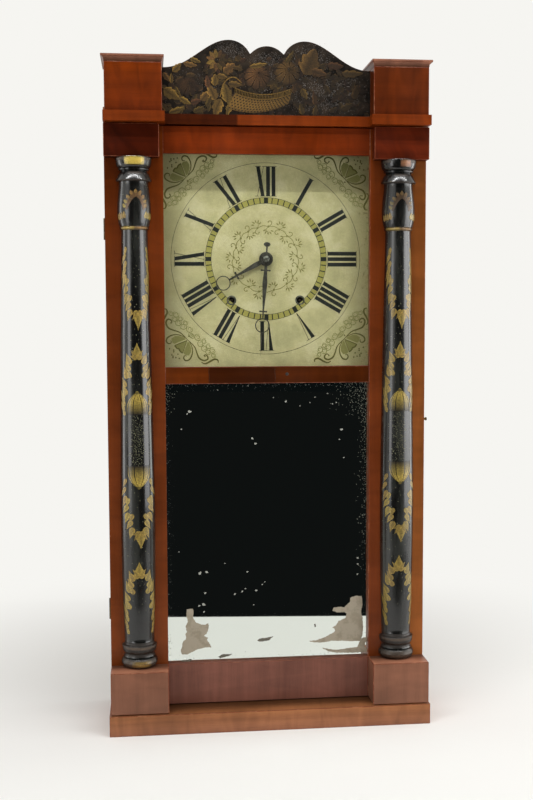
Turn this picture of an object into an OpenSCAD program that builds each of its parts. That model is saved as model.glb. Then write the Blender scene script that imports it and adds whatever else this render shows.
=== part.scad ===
// Half-column and splat shelf clock, weight driven, with a looking-glass door.
// Frame: X to the right, Y to the back, Z up. The front of the clock faces -Y.
// The origin is the centre of the base's underside. Millimetres.

/* [Case] */
// Width of the case and of the door
case_w = 406; // [380:1:430]
// Thickness of the case side boards
side_t = 14; // [10:1:18]
// Thickness of the backboard
back_t = 6.5; // [5:0.5:10]
// Thickness of the bottom board
bottom_t = 16; // [10:1:20]
// Depth of the case behind the door, from the sides' front edges to the back
case_d = 82.4; // [80:0.2:100]

/* [Base] */
// Height of the base moulding
base_h = 26; // [18:1:34]
// How far the base stands out past the case on each side
base_lip = 2; // [1:0.5:5]
// How far the base stands forward of the door's face
base_fwd = 35; // [33:0.5:42]

/* [Door] */
// Thickness of the door frame
door_t = 19; // [17:0.5:24]
// Gap between the door's back and the case
door_gap = 0.6; // [0.4:0.1:1.5]
// Gap between the door and the base, and the door and the cornice
door_play = 1.4; // [0.8:0.1:3]
// Width of the stiles
stile_w = 72.6; // [66:0.2:80]
// Height of the bottom rail
bottom_rail_h = 51.8; // [40:0.2:64]
// Height of the looking glass opening
mirror_sight_h = 361; // [340:1:380]
// Height of the middle rail
mid_rail_h = 21.4; // [18:0.2:30]
// Height of the dial opening
dial_sight_h = 265.6; // [255:0.2:275]
// Height of the top rail
top_rail_h = 33.4; // [26:0.2:45]
// Width of the rebate that holds the glass
rebate_w = 6; // [4:0.5:8]
// Wood left in front of the glass
rebate_lip = 8; // [6:0.5:10]
// Thickness of the dial glass
dial_glass_t = 2; // [1.5:0.1:3]
// Thickness of the looking glass
mirror_t = 3; // [2:0.1:4]
// Thickness of the board behind the looking glass
mirror_back_t = 5; // [3:0.5:6]

/* [Half columns] */
// Radius of the shaft at its foot
shaft_r_foot = 18.6; // [17:0.1:20]
// Radius of the shaft where it swells most
shaft_r_belly = 21.7; // [20:0.1:23]
// Radius of the shaft at its neck
shaft_r_neck = 16.2; // [14:0.1:18]
// Radius of the foot torus
foot_torus_r = 23; // [21:0.1:25]
// Radius of the capital's rings
capital_r = 22.6; // [21:0.1:24]
// Radius of the capital's urn where it swells most
urn_r = 20.9; // [19:0.1:22]

/* [Blocks on the door] */
// Height of the plinth blocks, measured from the door's foot
plinth_h = 53; // [40:0.5:64]
// Depth of the plinth blocks
plinth_d = 33.5; // [26:0.5:36]
// Height of the frieze blocks, measured from the door's top
frieze_h = 39.8; // [30:0.2:50]
// Depth of the frieze blocks
frieze_d = 15.5; // [10:0.5:20]
// Width of the left frieze block
frieze_left_w = 67.8; // [60:0.2:72]
// Width of the right frieze block
frieze_right_w = 69.8; // [60:0.2:72]

/* [Cornice, towers and splat] */
// Thickness of the cornice plate
cornice_t = 12.4; // [9:0.2:18]
// How far the plate's middle stands forward of the door's face
cornice_fwd = 5.5; // [3:0.5:9]
// How far the plate's ends stand forward of the door's face
cornice_end_fwd = 26; // [22:0.5:30]
// Width of each end that breaks forward
cornice_end_w = 75.2; // [68:0.2:90]
// Width of a tower block
tower_w = 70; // [60:0.5:74]
// How far a tower's outer face lies inside the case's side
tower_set = 2; // [0:0.5:7]
// Height of a tower block
tower_h = 58.9; // [40:0.2:80]
// Depth of a tower block
tower_d = 73; // [50:1:74]
// How far a tower stands forward of the door's face
tower_fwd = 20; // [14:0.5:24]
// Height of a tower's cap
cap_h = 8.5; // [6:0.5:12]
// How far a cap stands out past its tower
cap_lip = 3.8; // [2:0.2:6]
// Thickness of the splat
splat_t = 9; // [6:0.5:12]
// Height of the splat at its outer ends
splat_end_h = 57.6; // [45:0.2:70]
// Height of the splat's two outer humps
splat_hump_h = 92.4; // [80:0.2:104]
// Height of the splat's middle hump
splat_mid_h = 85.6; // [76:0.2:98]
// Distance of an outer hump's peak from the centre line
hump_x = 47.5; // [44:0.5:52]
// Radius of the outer humps
hump_r = 29.2; // [27:0.1:32]
// Radius of the middle hump
mid_hump_r = 26.5; // [24:0.1:29]

/* [Dial and hands] */
// How far the dial's centre lies above the middle of its opening
dial_rise = 3.6; // [0:0.2:6]
// Width of the dial board
dial_w = 290; // [282:1:296]
// How far the dial board reaches past the sight, above and below
dial_over = 15; // [10:1:20]
// Thickness of the dial board
dial_t = 7; // [5:0.5:9]
// How far the dial's face lies behind the front edges of the case
dial_set = 6.4; // [5:0.2:8]
// Radius of the hole for the hands' pipe
pipe_hole_r = 7; // [6.2:0.1:8]
// Radius of a winding hole
winding_hole_r = 4.9; // [4.4:0.1:6]
// Distance from the centre to the tip of the minute hand
minute_len = 126; // [110:1:128]
// Distance from the centre to the ring of the minute hand
minute_ring = 85; // [75:1:95]
// Distance from the centre to the ring of the hour hand
hour_ring = 63; // [55:1:68]
// Outer radius of a hand's ring
ring_r = 9.4; // [8:0.2:11]
// Width of the wire of a ring
ring_wire = 1.2; // [1:0.1:2]
// Thickness of a hand
hand_t = 1.1; // [0.8:0.1:1.6]
// Angle of the minute hand, clockwise from twelve
minute_angle = 183.6; // [0:0.1:360]
// Angle of the hour hand, clockwise from twelve
hour_angle = 240.9; // [0:0.1:360]

/* [Movement] */
// Width of the movement plates
plate_w = 216; // [210:1:224]
// How far the plates reach below the dial's centre
plate_drop = 120; // [116:1:128]
// How far the plates reach above the dial's centre
plate_rise = 96; // [92:1:102]
// Thickness of a movement plate
plate_t = 8; // [7:0.5:9]
// Space between the movement plates
plate_space = 26; // [26:0.2:27]
// Distance of a winding arbor from the centre line
arbor_x = 44.3; // [44:0.1:45]
// Distance of a winding arbor below the dial's centre
arbor_drop = 52.4; // [52:0.1:53]
// Teeth of a great wheel
great_teeth = 72; // [72:72]
// Teeth of the pinion that a great wheel drives
great_leaves = 12; // [12:12]
// Teeth of the centre wheel
centre_teeth = 72; // [72:72]
// Teeth of the third wheel
third_teeth = 64; // [64:64]
// Leaves of the third and escape pinions
train_leaves = 8; // [8:8]
// Teeth of the escape wheel
escape_teeth = 42; // [42:42]
// Radius of the escape wheel at its tips
escape_r = 18; // [17:0.1:18.4]
// Swing of the pendulum to each side, in degrees
swing = 3; // [2:0.5:3]
// Length of the pendulum from its suspension to the bob's centre
pendulum_len = 300; // [240:1:340]
// Radius of the pendulum bob
bob_r = 25; // [20:0.5:28]
// Thickness of the pendulum bob
bob_t = 8; // [6:0.5:9]
// Radius of the bell
bell_r = 22; // [18:0.5:23]

/* [Weights, cords and pulleys] */
// Radius of a weight
weight_r = 22; // [18:0.5:23]
// Height of a weight without its hook
weight_h = 150; // [110:1:170]
// Height of a weight's foot above the case's floor when run down
weight_clear = 18; // [8:1:24]
// Gap between a weight and the side of the case
weight_wall = 15; // [13:0.5:17]
// Radius of a cord
cord_r = 1.1; // [0.9:0.1:1.4]
// Radius of the drum and of a pulley's groove
drum_r = 12.5; // [11:0.1:13]
// Radius of a pulley's rim
pulley_r = 16; // [15:0.2:17]
// Height of a pulley's axis above the underside of the cornice plate
pulley_rise = 4; // [2:0.5:6]

/* [Hinges and latch] */
// Length of a hinge
hinge_h = 27; // [22:0.5:34]
// Radius of a hinge knuckle
knuckle_r = 2.1; // [1.9:0.1:2.6]
// Radius of a hinge pin
hinge_pin_r = 1; // [0.8:0.05:1.2]
// How far the hinge's axis lies outside the case's side
hinge_out = 0.2; // [0.1:0.1:0.5]
// Height of the lower hinge's middle above the floor
hinge_low_z = 150; // [110:1:200]
// Height of the upper hinge's middle above the floor
hinge_high_z = 635; // [560:1:680]
// Height of the latch pin above the floor
latch_z = 391; // [340:1:440]
// Length of the latch hook from its screw to the pin
hook_len = 30; // [26:0.5:34]

/* [Hidden] */
$fn = 64;
flat_fn = 12;
eps = 0.01;

// Depths, from the front of the base to the back of the case
base_d = base_fwd + door_t + door_gap + case_d;
face_y = -base_d / 2 + base_fwd;
door_back_y = face_y + door_t;
case_y = door_back_y + door_gap;
back_y = base_d / 2;
board_y = back_y - back_t;
half_w = case_w / 2;
inner_w = half_w - side_t;

// Heights of the door and the case
door_z0 = base_h + door_play;
mirror_z0 = door_z0 + bottom_rail_h;
mirror_z1 = mirror_z0 + mirror_sight_h;
sight_z0 = mirror_z1 + mid_rail_h;
sight_z1 = sight_z0 + dial_sight_h;
door_z1 = sight_z1 + top_rail_h;
cornice_z = door_z1 + door_play;
cornice_top = cornice_z + cornice_t;
sight_x = half_w - stile_w;
column_x = half_w - stile_w / 2;
tower_x = half_w - tower_set;
glass_y = face_y + rebate_lip;
glass_play = 0.4;

// Dial
dial_z = sight_z0 + dial_sight_h / 2 + dial_rise;
dial_y = case_y + dial_set;
dial_back = dial_y + dial_t;
dial_z0 = sight_z0 - dial_over;
dial_z1 = sight_z1 + dial_over;
dial_rail_h = 14;
dial_rail_t = 7.4;

// Planes of the movement: the motion work between the dial and the front plate
hour_wheel_t = 2.5;
minute_wheel_t = 2.4;
motion_gap = 1.5;
front_room = 12.5;
hour_plane = dial_back + motion_gap;
minute_plane = hour_plane + hour_wheel_t + motion_gap;
rod_plane = dial_back + 9.8;
front_y = dial_back + front_room;

// Plates
plate_z0 = dial_z - plate_drop;
plate_z1 = dial_z + plate_rise;

// Planes between the plates, the drums' cords in the middle
shake = 0.6;
layer_gap = 1.4;
great_t = 3.4;
count_t = 1;
train_t = 2.6;
leaf_over = 0.4;
drum_half = 6.2;
space_y = front_y + plate_t;
back_plate_y = space_y + plate_space;
rail_y = back_plate_y + plate_t;
escape_plane = space_y + shake + layer_gap;
third_plane = space_y + 9.2;
centre_plane = space_y + 15.6;
time_great_y = back_plate_y - great_t - 1;
strike_great_y = space_y + layer_gap;
pin_wheel_y = strike_great_y + great_t + count_t + 1.2;
hammer_y = space_y + 10.4;
hammer_t = 1.8;
cord_y = space_y + 13.4;
fly_y = space_y + 17;
fly_w = 7;

// Centres of the arbors, as [x, z]
centre_c = [0, dial_z];
time_c = [arbor_x, dial_z - arbor_drop];
strike_c = [-arbor_x, dial_z - arbor_drop];
great_dist = norm(time_c - centre_c);
great_m = 2 * great_dist / (great_teeth + great_leaves);
centre_m = 0.82;
third_m = 0.62;
pendulum_x = -14;
escape_c = [pendulum_x, dial_z + 50];
third_c = meet(centre_c, centre_m * (centre_teeth + train_leaves) / 2,
    escape_c, third_m * (third_teeth + train_leaves) / 2);
verge_c = [pendulum_x, escape_c[1] + escape_r + 8];
post_rise = 6;
crutch_drop = 24;
verge_swing = swing * (post_rise + crutch_drop) / crutch_drop;
pin_angle = 100;
pin_c = strike_c + great_dist * [cos(pin_angle), sin(pin_angle)];
pin_teeth = 60;
pin_ring = 15;
pin_count = 8;
lift_pin_r = 0.9;
lift_pin_h = 2;
pin_m = 0.7;
fly_angle = 100;
fly_c = pin_c + polar(pin_m * (pin_teeth + train_leaves) / 2, fly_angle);
motion_m = 0.75;
hour_m = 0.72;
cannon_leaves = 12;
minute_teeth = 36;
minute_leaves = 10;
hour_teeth = 40;
minute_c = centre_c + [motion_m * (cannon_leaves + minute_teeth) / 2, 0];
hammer_c = [-50, plate_z1 - 18];

// Running fits and small clearances
rod_r = 1.1;
post_r = 2;
pivot_r = 1.6;
pivot_play = 0.15;
arbor_r = 3;
thin_arbor_r = 1.9;
hand_arbor_r = 2.2;
pipe_in = 2.6;
pipe_out = 4.2;
winding_r = 3.4;
run = 0.4;

// Cords and pulleys
cord_gap = 0.35;
cord_line = drum_r + cord_r + cord_gap;
weight_x = inner_w - weight_r - weight_wall;
pulley_c = [weight_x - cord_line, cornice_z + pulley_rise];
weight_foot = bottom_t + weight_clear;
hook_h = 14;
weight_top = weight_foot + weight_h + hook_h;
pulley_t = 7;
slot_half = pulley_r + 3;
slot_d = pulley_t + 2.4;
pulley_pin_r = 1.5;
pulley_pin_half = slot_d / 2 + 4;
pin_play = 0.05;
pin_end_gap = 0.3;

// Hinge axis
hinge_x = -half_w - hinge_out;
hinge_y = door_back_y + door_gap / 2;
leaf_t = 1.2;
leaf_inset = 1.2;

WOOD = "#7a3a1c";
DARK_WOOD = "#4a2014";
PINE = "#b98f5c";
CHERRY = "#a8703c";
BLACK = "#17181a";
BRASS = "#b08a3e";
IRON = "#3b3835";
STEEL = "#6d6a66";
CREAM = "#c9c294";
CORD = "#8a7a58";

// The point at distance a from p and b from q, on the right of the line from p to q
function meet(p, a, q, b) =
    let (d = norm(q - p), u = (q - p) / d, t = (a * a - b * b + d * d) / (2 * d))
    p + t * u + sqrt(a * a - t * t) * [u[1], -u[0]];

function polar(r, a) = [r * cos(a), r * sin(a)];

// Angle of the second wheel's first tooth, so that it meshes with the first wheel
function mesh_angle(a1, n1, n2, dir) = dir + 180 + 360 / n2 * (0.5 - (a1 - dir) * n1 / 360);
function dir_of(p, q) = atan2(q[1] - p[1], q[0] - p[0]);

// Depths of the teeth below and above the pitch circle, in modules, and their half widths
// at root and tip, as shares of the pitch
wheel_root = 1.1;
wheel_tip = 0.75;
leaf_root = 1.2;
leaf_tip = 0.6;
wheel_w_root = 0.27;
leaf_w_root = 0.16;
tooth_w_tip = 0.09;

// Outline of a wheel with n teeth of module m; a is the angle of its first tooth
function tooth_pts(n, m, a, root, tip, w_root, w_tip) = [for (i = [0:n - 1])
    let (mid = a + i * 360 / n, r = n * m / 2)
    each [polar(r - root * m, mid - w_root * 360 / n), polar(r + tip * m, mid - w_tip * 360 / n),
        polar(r + tip * m, mid + w_tip * 360 / n), polar(r - root * m, mid + w_root * 360 / n)]];

// A flat piece standing across Y, from depth y to y + t, drawn in X and Z
module slab(y, t) {
    translate([0, y + t, 0]) rotate([90, 0, 0]) linear_extrude(height = t) children();
}

// A bar along Y with n sides, n above 12 being a true cylinder
module bar(c, r, y0, y1, n = 12) {
    translate([c[0], y1, c[1]]) rotate([90, 0, 0]) cylinder(r = r, h = y1 - y0, $fn = n);
}

module block(x0, x1, y0, y1, z0, z1) {
    translate([x0, y0, z0]) cube([x1 - x0, y1 - y0, z1 - z0]);
}

module both_sides() {
    children();
    mirror([1, 0, 0]) children();
}

module wheel2d(c, n, m, a, hub = 0) {
    translate(c) difference() {
        polygon(tooth_pts(n, m, a, wheel_root, wheel_tip, wheel_w_root, tooth_w_tip));
        if (hub > 0) circle(r = hub, $fn = flat_fn);
    }
}

module pinion2d(c, n, m, a, hub = 0) {
    translate(c) difference() {
        polygon(tooth_pts(n, m, a, leaf_root, leaf_tip, leaf_w_root, tooth_w_tip));
        if (hub > 0) circle(r = hub, $fn = flat_fn);
    }
}

// ---------- base and case ----------

module base_front_rail() {
    color(WOOD) block(-half_w - base_lip, half_w + base_lip, -base_d / 2, case_y, 0, base_h);
}

module base_side_rails() {
    color(WOOD) both_sides() block(inner_w, half_w + base_lip, case_y, back_y, 0, base_h);
}

module case_left_side() {
    color(WOOD) difference() {
        block(-half_w, -inner_w, case_y, back_y, base_h, cornice_z);
        hinge_mortises(case_y, 1);
    }
}

module case_right_side() {
    color(WOOD) difference() {
        block(inner_w, half_w, case_y, back_y, base_h, cornice_z);
        translate([half_w - hook_pivot_len, hook_screw_y, latch_z]) rotate([0, 90, 0])
            cylinder(r = hook_pivot_r + hook_play, h = hook_pivot_len + 1);
    }
}

module case_bottom_board() {
    color(PINE) block(-inner_w, inner_w, case_y, back_y, 0, bottom_t);
}

module backboard() {
    color(PINE) block(-inner_w, inner_w, board_y, back_y, bottom_t, cornice_z);
}

module cornice_plate() {
    color(WOOD) difference() {
        union() {
            block(-half_w, half_w, face_y - cornice_fwd, back_y, cornice_z, cornice_top);
            both_sides() block(half_w - cornice_end_w, half_w, face_y - cornice_end_fwd,
                face_y, cornice_z, cornice_top);
        }
        both_sides() {
            translate([pulley_c[0], cord_y, cornice_z])
                cube([2 * slot_half, slot_d, 3 * cornice_t], center = true);
            bar(pulley_c, pulley_pin_r + pin_play, cord_y - pulley_pin_half - pin_end_gap,
                cord_y + pulley_pin_half + pin_end_gap, 24);
        }
    }
}

tower_y = face_y - tower_fwd;
module tower_block() {
    color(WOOD) block(tower_x - tower_w, tower_x, tower_y, tower_y + tower_d, cornice_top,
        cornice_top + tower_h);
}

module tower_block_right() {
    tower_block();
}

module tower_block_left() {
    mirror([1, 0, 0]) tower_block();
}

// A cap is a stack of plates under a top plate, stepped along a hollow moulding
cap_top_t = 2.6;
cap_steps = 6;
cap_fillet = 0.4;
cap_inner = 0.7;
function cove(t) = max(cap_fillet, cap_lip * 0.9 * (1 - cos(90 * t)));

// A plate o wider than the tower, less on the side towards the splat
module cap_plate(o, z, h) {
    block(tower_x - tower_w - o * cap_inner, tower_x + o, tower_y - o, tower_y + tower_d + o,
        z, z + h);
}

module tower_cap() {
    z = cornice_top + tower_h;
    step_h = (cap_h - cap_top_t) / cap_steps;
    for (i = [0:cap_steps - 1]) cap_plate(cove((i + 0.5) / cap_steps), z + i * step_h, step_h);
    cap_plate(cap_lip, z + cap_h - cap_top_t, cap_top_t);
}

module tower_caps() {
    color(WOOD) both_sides() tower_cap();
}

// Height of the splat's edge at distance x from the centre line
splat_set = 2;
splat_notch = 10.6;
notch_x = sqrt(pow(mid_hump_r, 2) - pow(mid_hump_r - splat_notch, 2));
ogee_power = 1.15;
splat_half = tower_x - tower_w;
function splat_edge(x) =
    x < notch_x ? splat_mid_h - mid_hump_r + sqrt(pow(mid_hump_r, 2) - x * x) :
    x < hump_x ? splat_hump_h - hump_r + sqrt(pow(hump_r, 2) - pow(x - hump_x, 2)) :
    splat_end_h + (splat_hump_h - splat_end_h)
        * pow(0.5 + 0.5 * cos(180 * (x - hump_x) / (splat_half - hump_x)), ogee_power);

module splat() {
    n = 28;
    xs = [for (i = [0:8]) notch_x * i / 8, for (i = [1:n]) notch_x
        + (splat_half - notch_x) * i / n];
    half = [for (x = xs) [x, splat_edge(x)]];
    left = [for (i = [len(xs) - 1:-1:1]) [-xs[i], splat_edge(xs[i])]];
    color(BLACK) translate([0, 0, cornice_top]) slab(face_y + splat_set, splat_t)
        polygon(concat([[-splat_half, 0]], left, half, [[splat_half, 0]]));
}

// Thin arched covers that keep dust off the pulleys, on top of the case
cover_t = 2.4;
cover_h = 18;
cover_d = 22;
cover_over = 2;
module pulley_covers() {
    x1 = half_w + cover_t;
    x0 = pulley_c[0] - slot_half - cover_t - cover_over;
    y0 = cord_y - cover_d / 2;
    color(DARK_WOOD) both_sides() difference() {
        union() {
            block(x0, x1, y0, y0 + cover_d, cornice_top, cornice_top + cover_h);
            block(half_w, x1, y0, y0 + cover_d, cornice_z + cover_over,
                cornice_top + cover_h);
        }
        block(x0 + cover_t, half_w, y0 + cover_t, y0 + cover_d - cover_t,
            cornice_top - 1, cornice_top + cover_h - cover_t);
    }
}

// ---------- dial ----------

module dial_rails() {
    color(PINE) {
        block(-inner_w, inner_w, dial_back, dial_back + dial_rail_t, dial_z1 - dial_rail_h,
            dial_z1);
        block(-inner_w, inner_w, dial_back, dial_back + dial_rail_t, dial_z0,
            dial_z0 + dial_rail_h);
    }
}

module dial() {
    color(CREAM) difference() {
        block(-dial_w / 2, dial_w / 2, dial_y, dial_back, dial_z0, dial_z1);
        bar(centre_c, pipe_hole_r, dial_y - 1, dial_back + 1, 48);
        bar(time_c, winding_hole_r, dial_y - 1, dial_back + 1, 48);
        bar(strike_c, winding_hole_r, dial_y - 1, dial_back + 1, 48);
    }
}

// Hands, drawn pointing up and then turned to their hour
minute_y = dial_y - 7;
hour_y = dial_y - 3.6;
hand_swell = 3.2;
hand_waist = 1.1;
hand_play = 0.02;
minute_hub_r = 6;
minute_hub_t = 2;
hour_hub_r = 9;
bar_h = 1.8;
bar_end_r = 1.2;

module hand_ring(r) {
    translate([0, r]) difference() {
        circle(r = ring_r);
        circle(r = ring_r - ring_wire);
    }
}

module cross_bar(r, half) {
    translate([-half, r - bar_h / 2]) square([2 * half, bar_h]);
    for (s = [-1, 1]) translate([s * half, r]) circle(r = bar_end_r);
}

module minute_shape() {
    hand_ring(minute_ring);
    polygon([[-1.6, 0], [-1.9, 14], [-hand_swell, 31], [-hand_waist, 62],
        [-0.7, minute_ring - ring_r + 0.6], [0.7, minute_ring - ring_r + 0.6],
        [hand_waist, 62], [hand_swell, 31], [1.9, 14], [1.6, 0]]);
    polygon([[-0.8, minute_ring + ring_r - 0.6], [0, minute_len],
        [0.8, minute_ring + ring_r - 0.6]]);
    cross_bar(14.5, 5.4);
    cross_bar(67, 4);
    translate([-1, -18]) square([2, 18]);
    translate([0, -18.5]) scale([1.45, 1]) circle(r = 3, $fn = flat_fn);
}

module hour_shape() {
    hand_ring(hour_ring);
    polygon([[-2.4, 4], [-hand_swell, 15], [-1.4, 39], [-1, hour_ring - ring_r + 0.6],
        [1, hour_ring - ring_r + 0.6], [1.4, 39], [hand_swell, 15], [2.4, 4]]);
    cross_bar(43, 4);
}

module minute_hand() {
    color(IRON) difference() {
        union() {
            translate([0, 0, dial_z]) rotate([0, minute_angle, 0]) slab(minute_y, hand_t)
                minute_shape();
            bar(centre_c, minute_hub_r, minute_y, minute_y + minute_hub_t, 32);
        }
        bar(centre_c, hand_arbor_r + hand_play, minute_y - 1, minute_y + 4, 32);
    }
}

module hour_hand() {
    color(IRON) difference() {
        union() {
            translate([0, 0, dial_z]) rotate([0, hour_angle, 0]) slab(hour_y, hand_t)
                hour_shape();
            bar(centre_c, hour_hub_r, hour_y, hour_y + hand_t, 48);
        }
        bar(centre_c, pipe_out + hand_play, hour_y - 1, hour_y + 4, 32);
    }
}

// ---------- movement frame ----------

movement_rail_x = 78;
movement_rail_w = 20;
module movement_rails() {
    color(PINE) both_sides() block(movement_rail_x, movement_rail_x + movement_rail_w, rail_y,
        board_y, bottom_t, cornice_z);
}

pillar_r = 6;
pillar_low = [plate_w / 2 - pillar_r - 4, plate_z0 + pillar_r + 4];
pillar_high_in = 46;
pillar_high = [plate_w / 2 - pillar_high_in, plate_z1 - pillar_r - 2];

module plate_outline() {
    translate([-plate_w / 2, plate_z0]) square([plate_w, plate_z1 - plate_z0]);
}

module pivot_hole(c) {
    translate(c) circle(r = pivot_r + pivot_play, $fn = flat_fn);
}

module movement_front_plate() {
    color(CHERRY) slab(front_y, plate_t) difference() {
        plate_outline();
        for (c = [third_c, escape_c, pin_c, fly_c, hammer_c]) pivot_hole(c);
        translate(centre_c) circle(r = hand_arbor_r + run, $fn = flat_fn);
        translate(verge_c) circle(r = pivot_r + run, $fn = flat_fn);
        for (c = [time_c, strike_c]) translate(c) circle(r = winding_r + run, $fn = flat_fn);
    }
    // Stud of the minute wheel, and the post that the pendulum hangs from
    color(BRASS) {
        bar(minute_c, pivot_r, hour_plane - shake, front_y);
        bar(verge_c + [0, post_rise], post_r, rod_plane - rod_r - shake, front_y, 32);
    }
}

module movement_back_plate() {
    color(CHERRY) slab(back_plate_y, plate_t) difference() {
        plate_outline();
        for (c = [centre_c, third_c, escape_c, verge_c, pin_c, fly_c, hammer_c, time_c,
            strike_c]) pivot_hole(c);
    }
}

module movement_pillars() {
    color(CHERRY) for (s = [-1, 1]) {
        bar([s * pillar_low[0], pillar_low[1]], pillar_r, space_y, back_plate_y);
        bar([s * pillar_high[0], pillar_high[1]], pillar_r, space_y, back_plate_y);
    }
}

// ---------- wheels ----------

// Arbor of a wheel, with a pivot at each end that runs in the plates
pivot_inset = 2;
pivot_start = front_y + pivot_inset;
pivot_end = back_plate_y + plate_t - pivot_inset;
module arbor(c, r) {
    bar(c, r, space_y + shake, back_plate_y - shake);
    bar(c, pivot_r, pivot_start, pivot_end);
}

time_a = dir_of(time_c, centre_c);
centre_pinion_a = mesh_angle(time_a, great_teeth, great_leaves, time_a);
centre_dir = dir_of(centre_c, third_c);
third_pinion_a = mesh_angle(0, centre_teeth, train_leaves, centre_dir);
third_dir = dir_of(third_c, escape_c);
escape_pinion_a = mesh_angle(0, third_teeth, train_leaves, third_dir);
minute_wheel_a = mesh_angle(0, cannon_leaves, minute_teeth, 0);
hour_wheel_a = mesh_angle(0, minute_leaves, hour_teeth, 180);

arbor_tip = 1.5;
module time_great_wheel() {
    color(CHERRY) slab(time_great_y, great_t)
        wheel2d(time_c, great_teeth, great_m, time_a, winding_r + run);
}

module centre_wheel() {
    color(CHERRY) slab(centre_plane, train_t)
        wheel2d(centre_c, centre_teeth, centre_m, 0);
    color(BRASS) {
        slab(time_great_y - leaf_over, great_t + 1.5 * leaf_over)
            pinion2d(centre_c, great_leaves, great_m, centre_pinion_a);
        bar(centre_c, arbor_r, space_y + shake, back_plate_y - shake);
        bar(centre_c, pivot_r, back_plate_y - 1, pivot_end);
        bar(centre_c, hand_arbor_r, minute_y - arbor_tip, space_y + 1);
        slab(minute_plane, minute_wheel_t)
            pinion2d(centre_c, cannon_leaves, motion_m, 0);
    }
}

module third_wheel() {
    color(CHERRY) slab(third_plane, train_t) wheel2d(third_c, third_teeth, third_m, 0);
    color(BRASS) {
        slab(centre_plane - leaf_over, train_t + 2 * leaf_over)
            pinion2d(third_c, train_leaves, centre_m, third_pinion_a);
        arbor(third_c, thin_arbor_r);
    }
}

// Escape wheel with forward-leaning pointed teeth
escape_depth = 3.1;
escape_lean = 0.35;
function escape_pts() = [for (i = [0:escape_teeth - 1]) let (p = 360 / escape_teeth)
    each [polar(escape_r - escape_depth, i * p), polar(escape_r, (i + escape_lean) * p),
        polar(escape_r - escape_depth, (i + 0.5) * p)]];

module escape_wheel() {
    color(BRASS) {
        slab(escape_plane, train_t) translate(escape_c) polygon(escape_pts());
        slab(third_plane - leaf_over, train_t + 2 * leaf_over)
            pinion2d(escape_c, train_leaves, third_m, escape_pinion_a);
        arbor(escape_c, thin_arbor_r);
    }
}

// Strip pallets bent over the escape wheel, their arbor, and the crutch in front
pallet_clear = 0.4;
pallet_reach = 19.5;
pallet_r = escape_r + pallet_clear + pallet_reach * sin(verge_swing);
pallet_spread = 45;
crutch_y = rod_plane + rod_r + run;
crutch_t = 0.8;
verge_arbor_r = 1.5;
fork_t = 0.6;
fork_half = 4;
fork_x = rod_r + 1.5;
module verge() {
    p = polar(pallet_r, 90 - pallet_spread) + [0, escape_c[1] - verge_c[1]];
    color(STEEL) {
        slab(escape_plane, train_t) translate(verge_c) {
            for (s = [-1, 1]) polygon([[s * -2, 2], [s * 2, 4], [s * (p[0] + 4), p[1] + 3],
                [s * (p[0] + 3), p[1] - 1], [s * p[0], p[1]], [s * (p[0] - 1), p[1] + 2.6],
                [s * 3, -2.4], [s * -2, -2.4]]);
        }
        bar(verge_c, verge_arbor_r, crutch_y, pivot_end);
        translate([verge_c[0], 0, verge_c[1]]) {
            block(-1, 1, crutch_y, crutch_y + crutch_t, fork_half - crutch_drop - 1, 1);
            block(-fork_x - fork_t, fork_x + fork_t, crutch_y, crutch_y + crutch_t,
                -crutch_drop - fork_half, fork_half - crutch_drop);
            for (s = [-1, 1]) block(s * fork_x - fork_t, s * fork_x + fork_t, rod_plane - rod_r,
                crutch_y + eps, -crutch_drop - fork_half, fork_half - crutch_drop);
        }
    }
}

bob_z = verge_c[1] - pendulum_len;
rod_tail = 8;
eye_wall = 2.2;
eye_play = 0.06;
bob_play = 0.03;
bob_n = 5;
module pendulum_rod() {
    pivot = verge_c + [0, post_rise];
    foot = bob_z - bob_r - rod_tail;
    color(STEEL) difference() {
        union() {
            bar(pivot, post_r + eye_wall, rod_plane - rod_r, rod_plane + rod_r, 32);
            translate([pendulum_x, rod_plane, foot])
                cylinder(r = rod_r, h = pivot[1] - post_r - 1 - foot, $fn = 24);
        }
        bar(pivot, post_r + eye_play, rod_plane - 4, rod_plane + 4, 32);
    }
}

module pendulum_bob() {
    color(BRASS) difference() {
        translate([pendulum_x, rod_plane, bob_z]) rotate([90, 0, 0]) rotate_extrude()
            polygon([for (i = [0:2 * bob_n]) let (a = 90 * i / bob_n)
                [bob_r * sin(a), -bob_t / 2 * cos(a)]]);
        translate([pendulum_x, rod_plane, bob_z - bob_r - 1])
            cylinder(r = rod_r + bob_play, h = 2 * bob_r + 2, $fn = 24);
    }
}

module minute_wheel() {
    color(BRASS) {
        slab(minute_plane, minute_wheel_t)
            wheel2d(minute_c, minute_teeth, motion_m, minute_wheel_a, pivot_r + pivot_play);
        slab(hour_plane, minute_plane - hour_plane + eps)
            pinion2d(minute_c, minute_leaves, hour_m, 0, pivot_r + pivot_play);
    }
}

pipe_tip = 0.6;
module hour_wheel() {
    color(BRASS) {
        slab(hour_plane, hour_wheel_t)
            wheel2d(centre_c, hour_teeth, hour_m, hour_wheel_a, pipe_in);
        slab(hour_y - pipe_tip, hour_plane - hour_y + 2 * pipe_tip) translate(centre_c) difference() {
            circle(r = pipe_out, $fn = 32);
            circle(r = pipe_in, $fn = flat_fn);
        }
    }
}

// ---------- drums, strike train ----------

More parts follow.
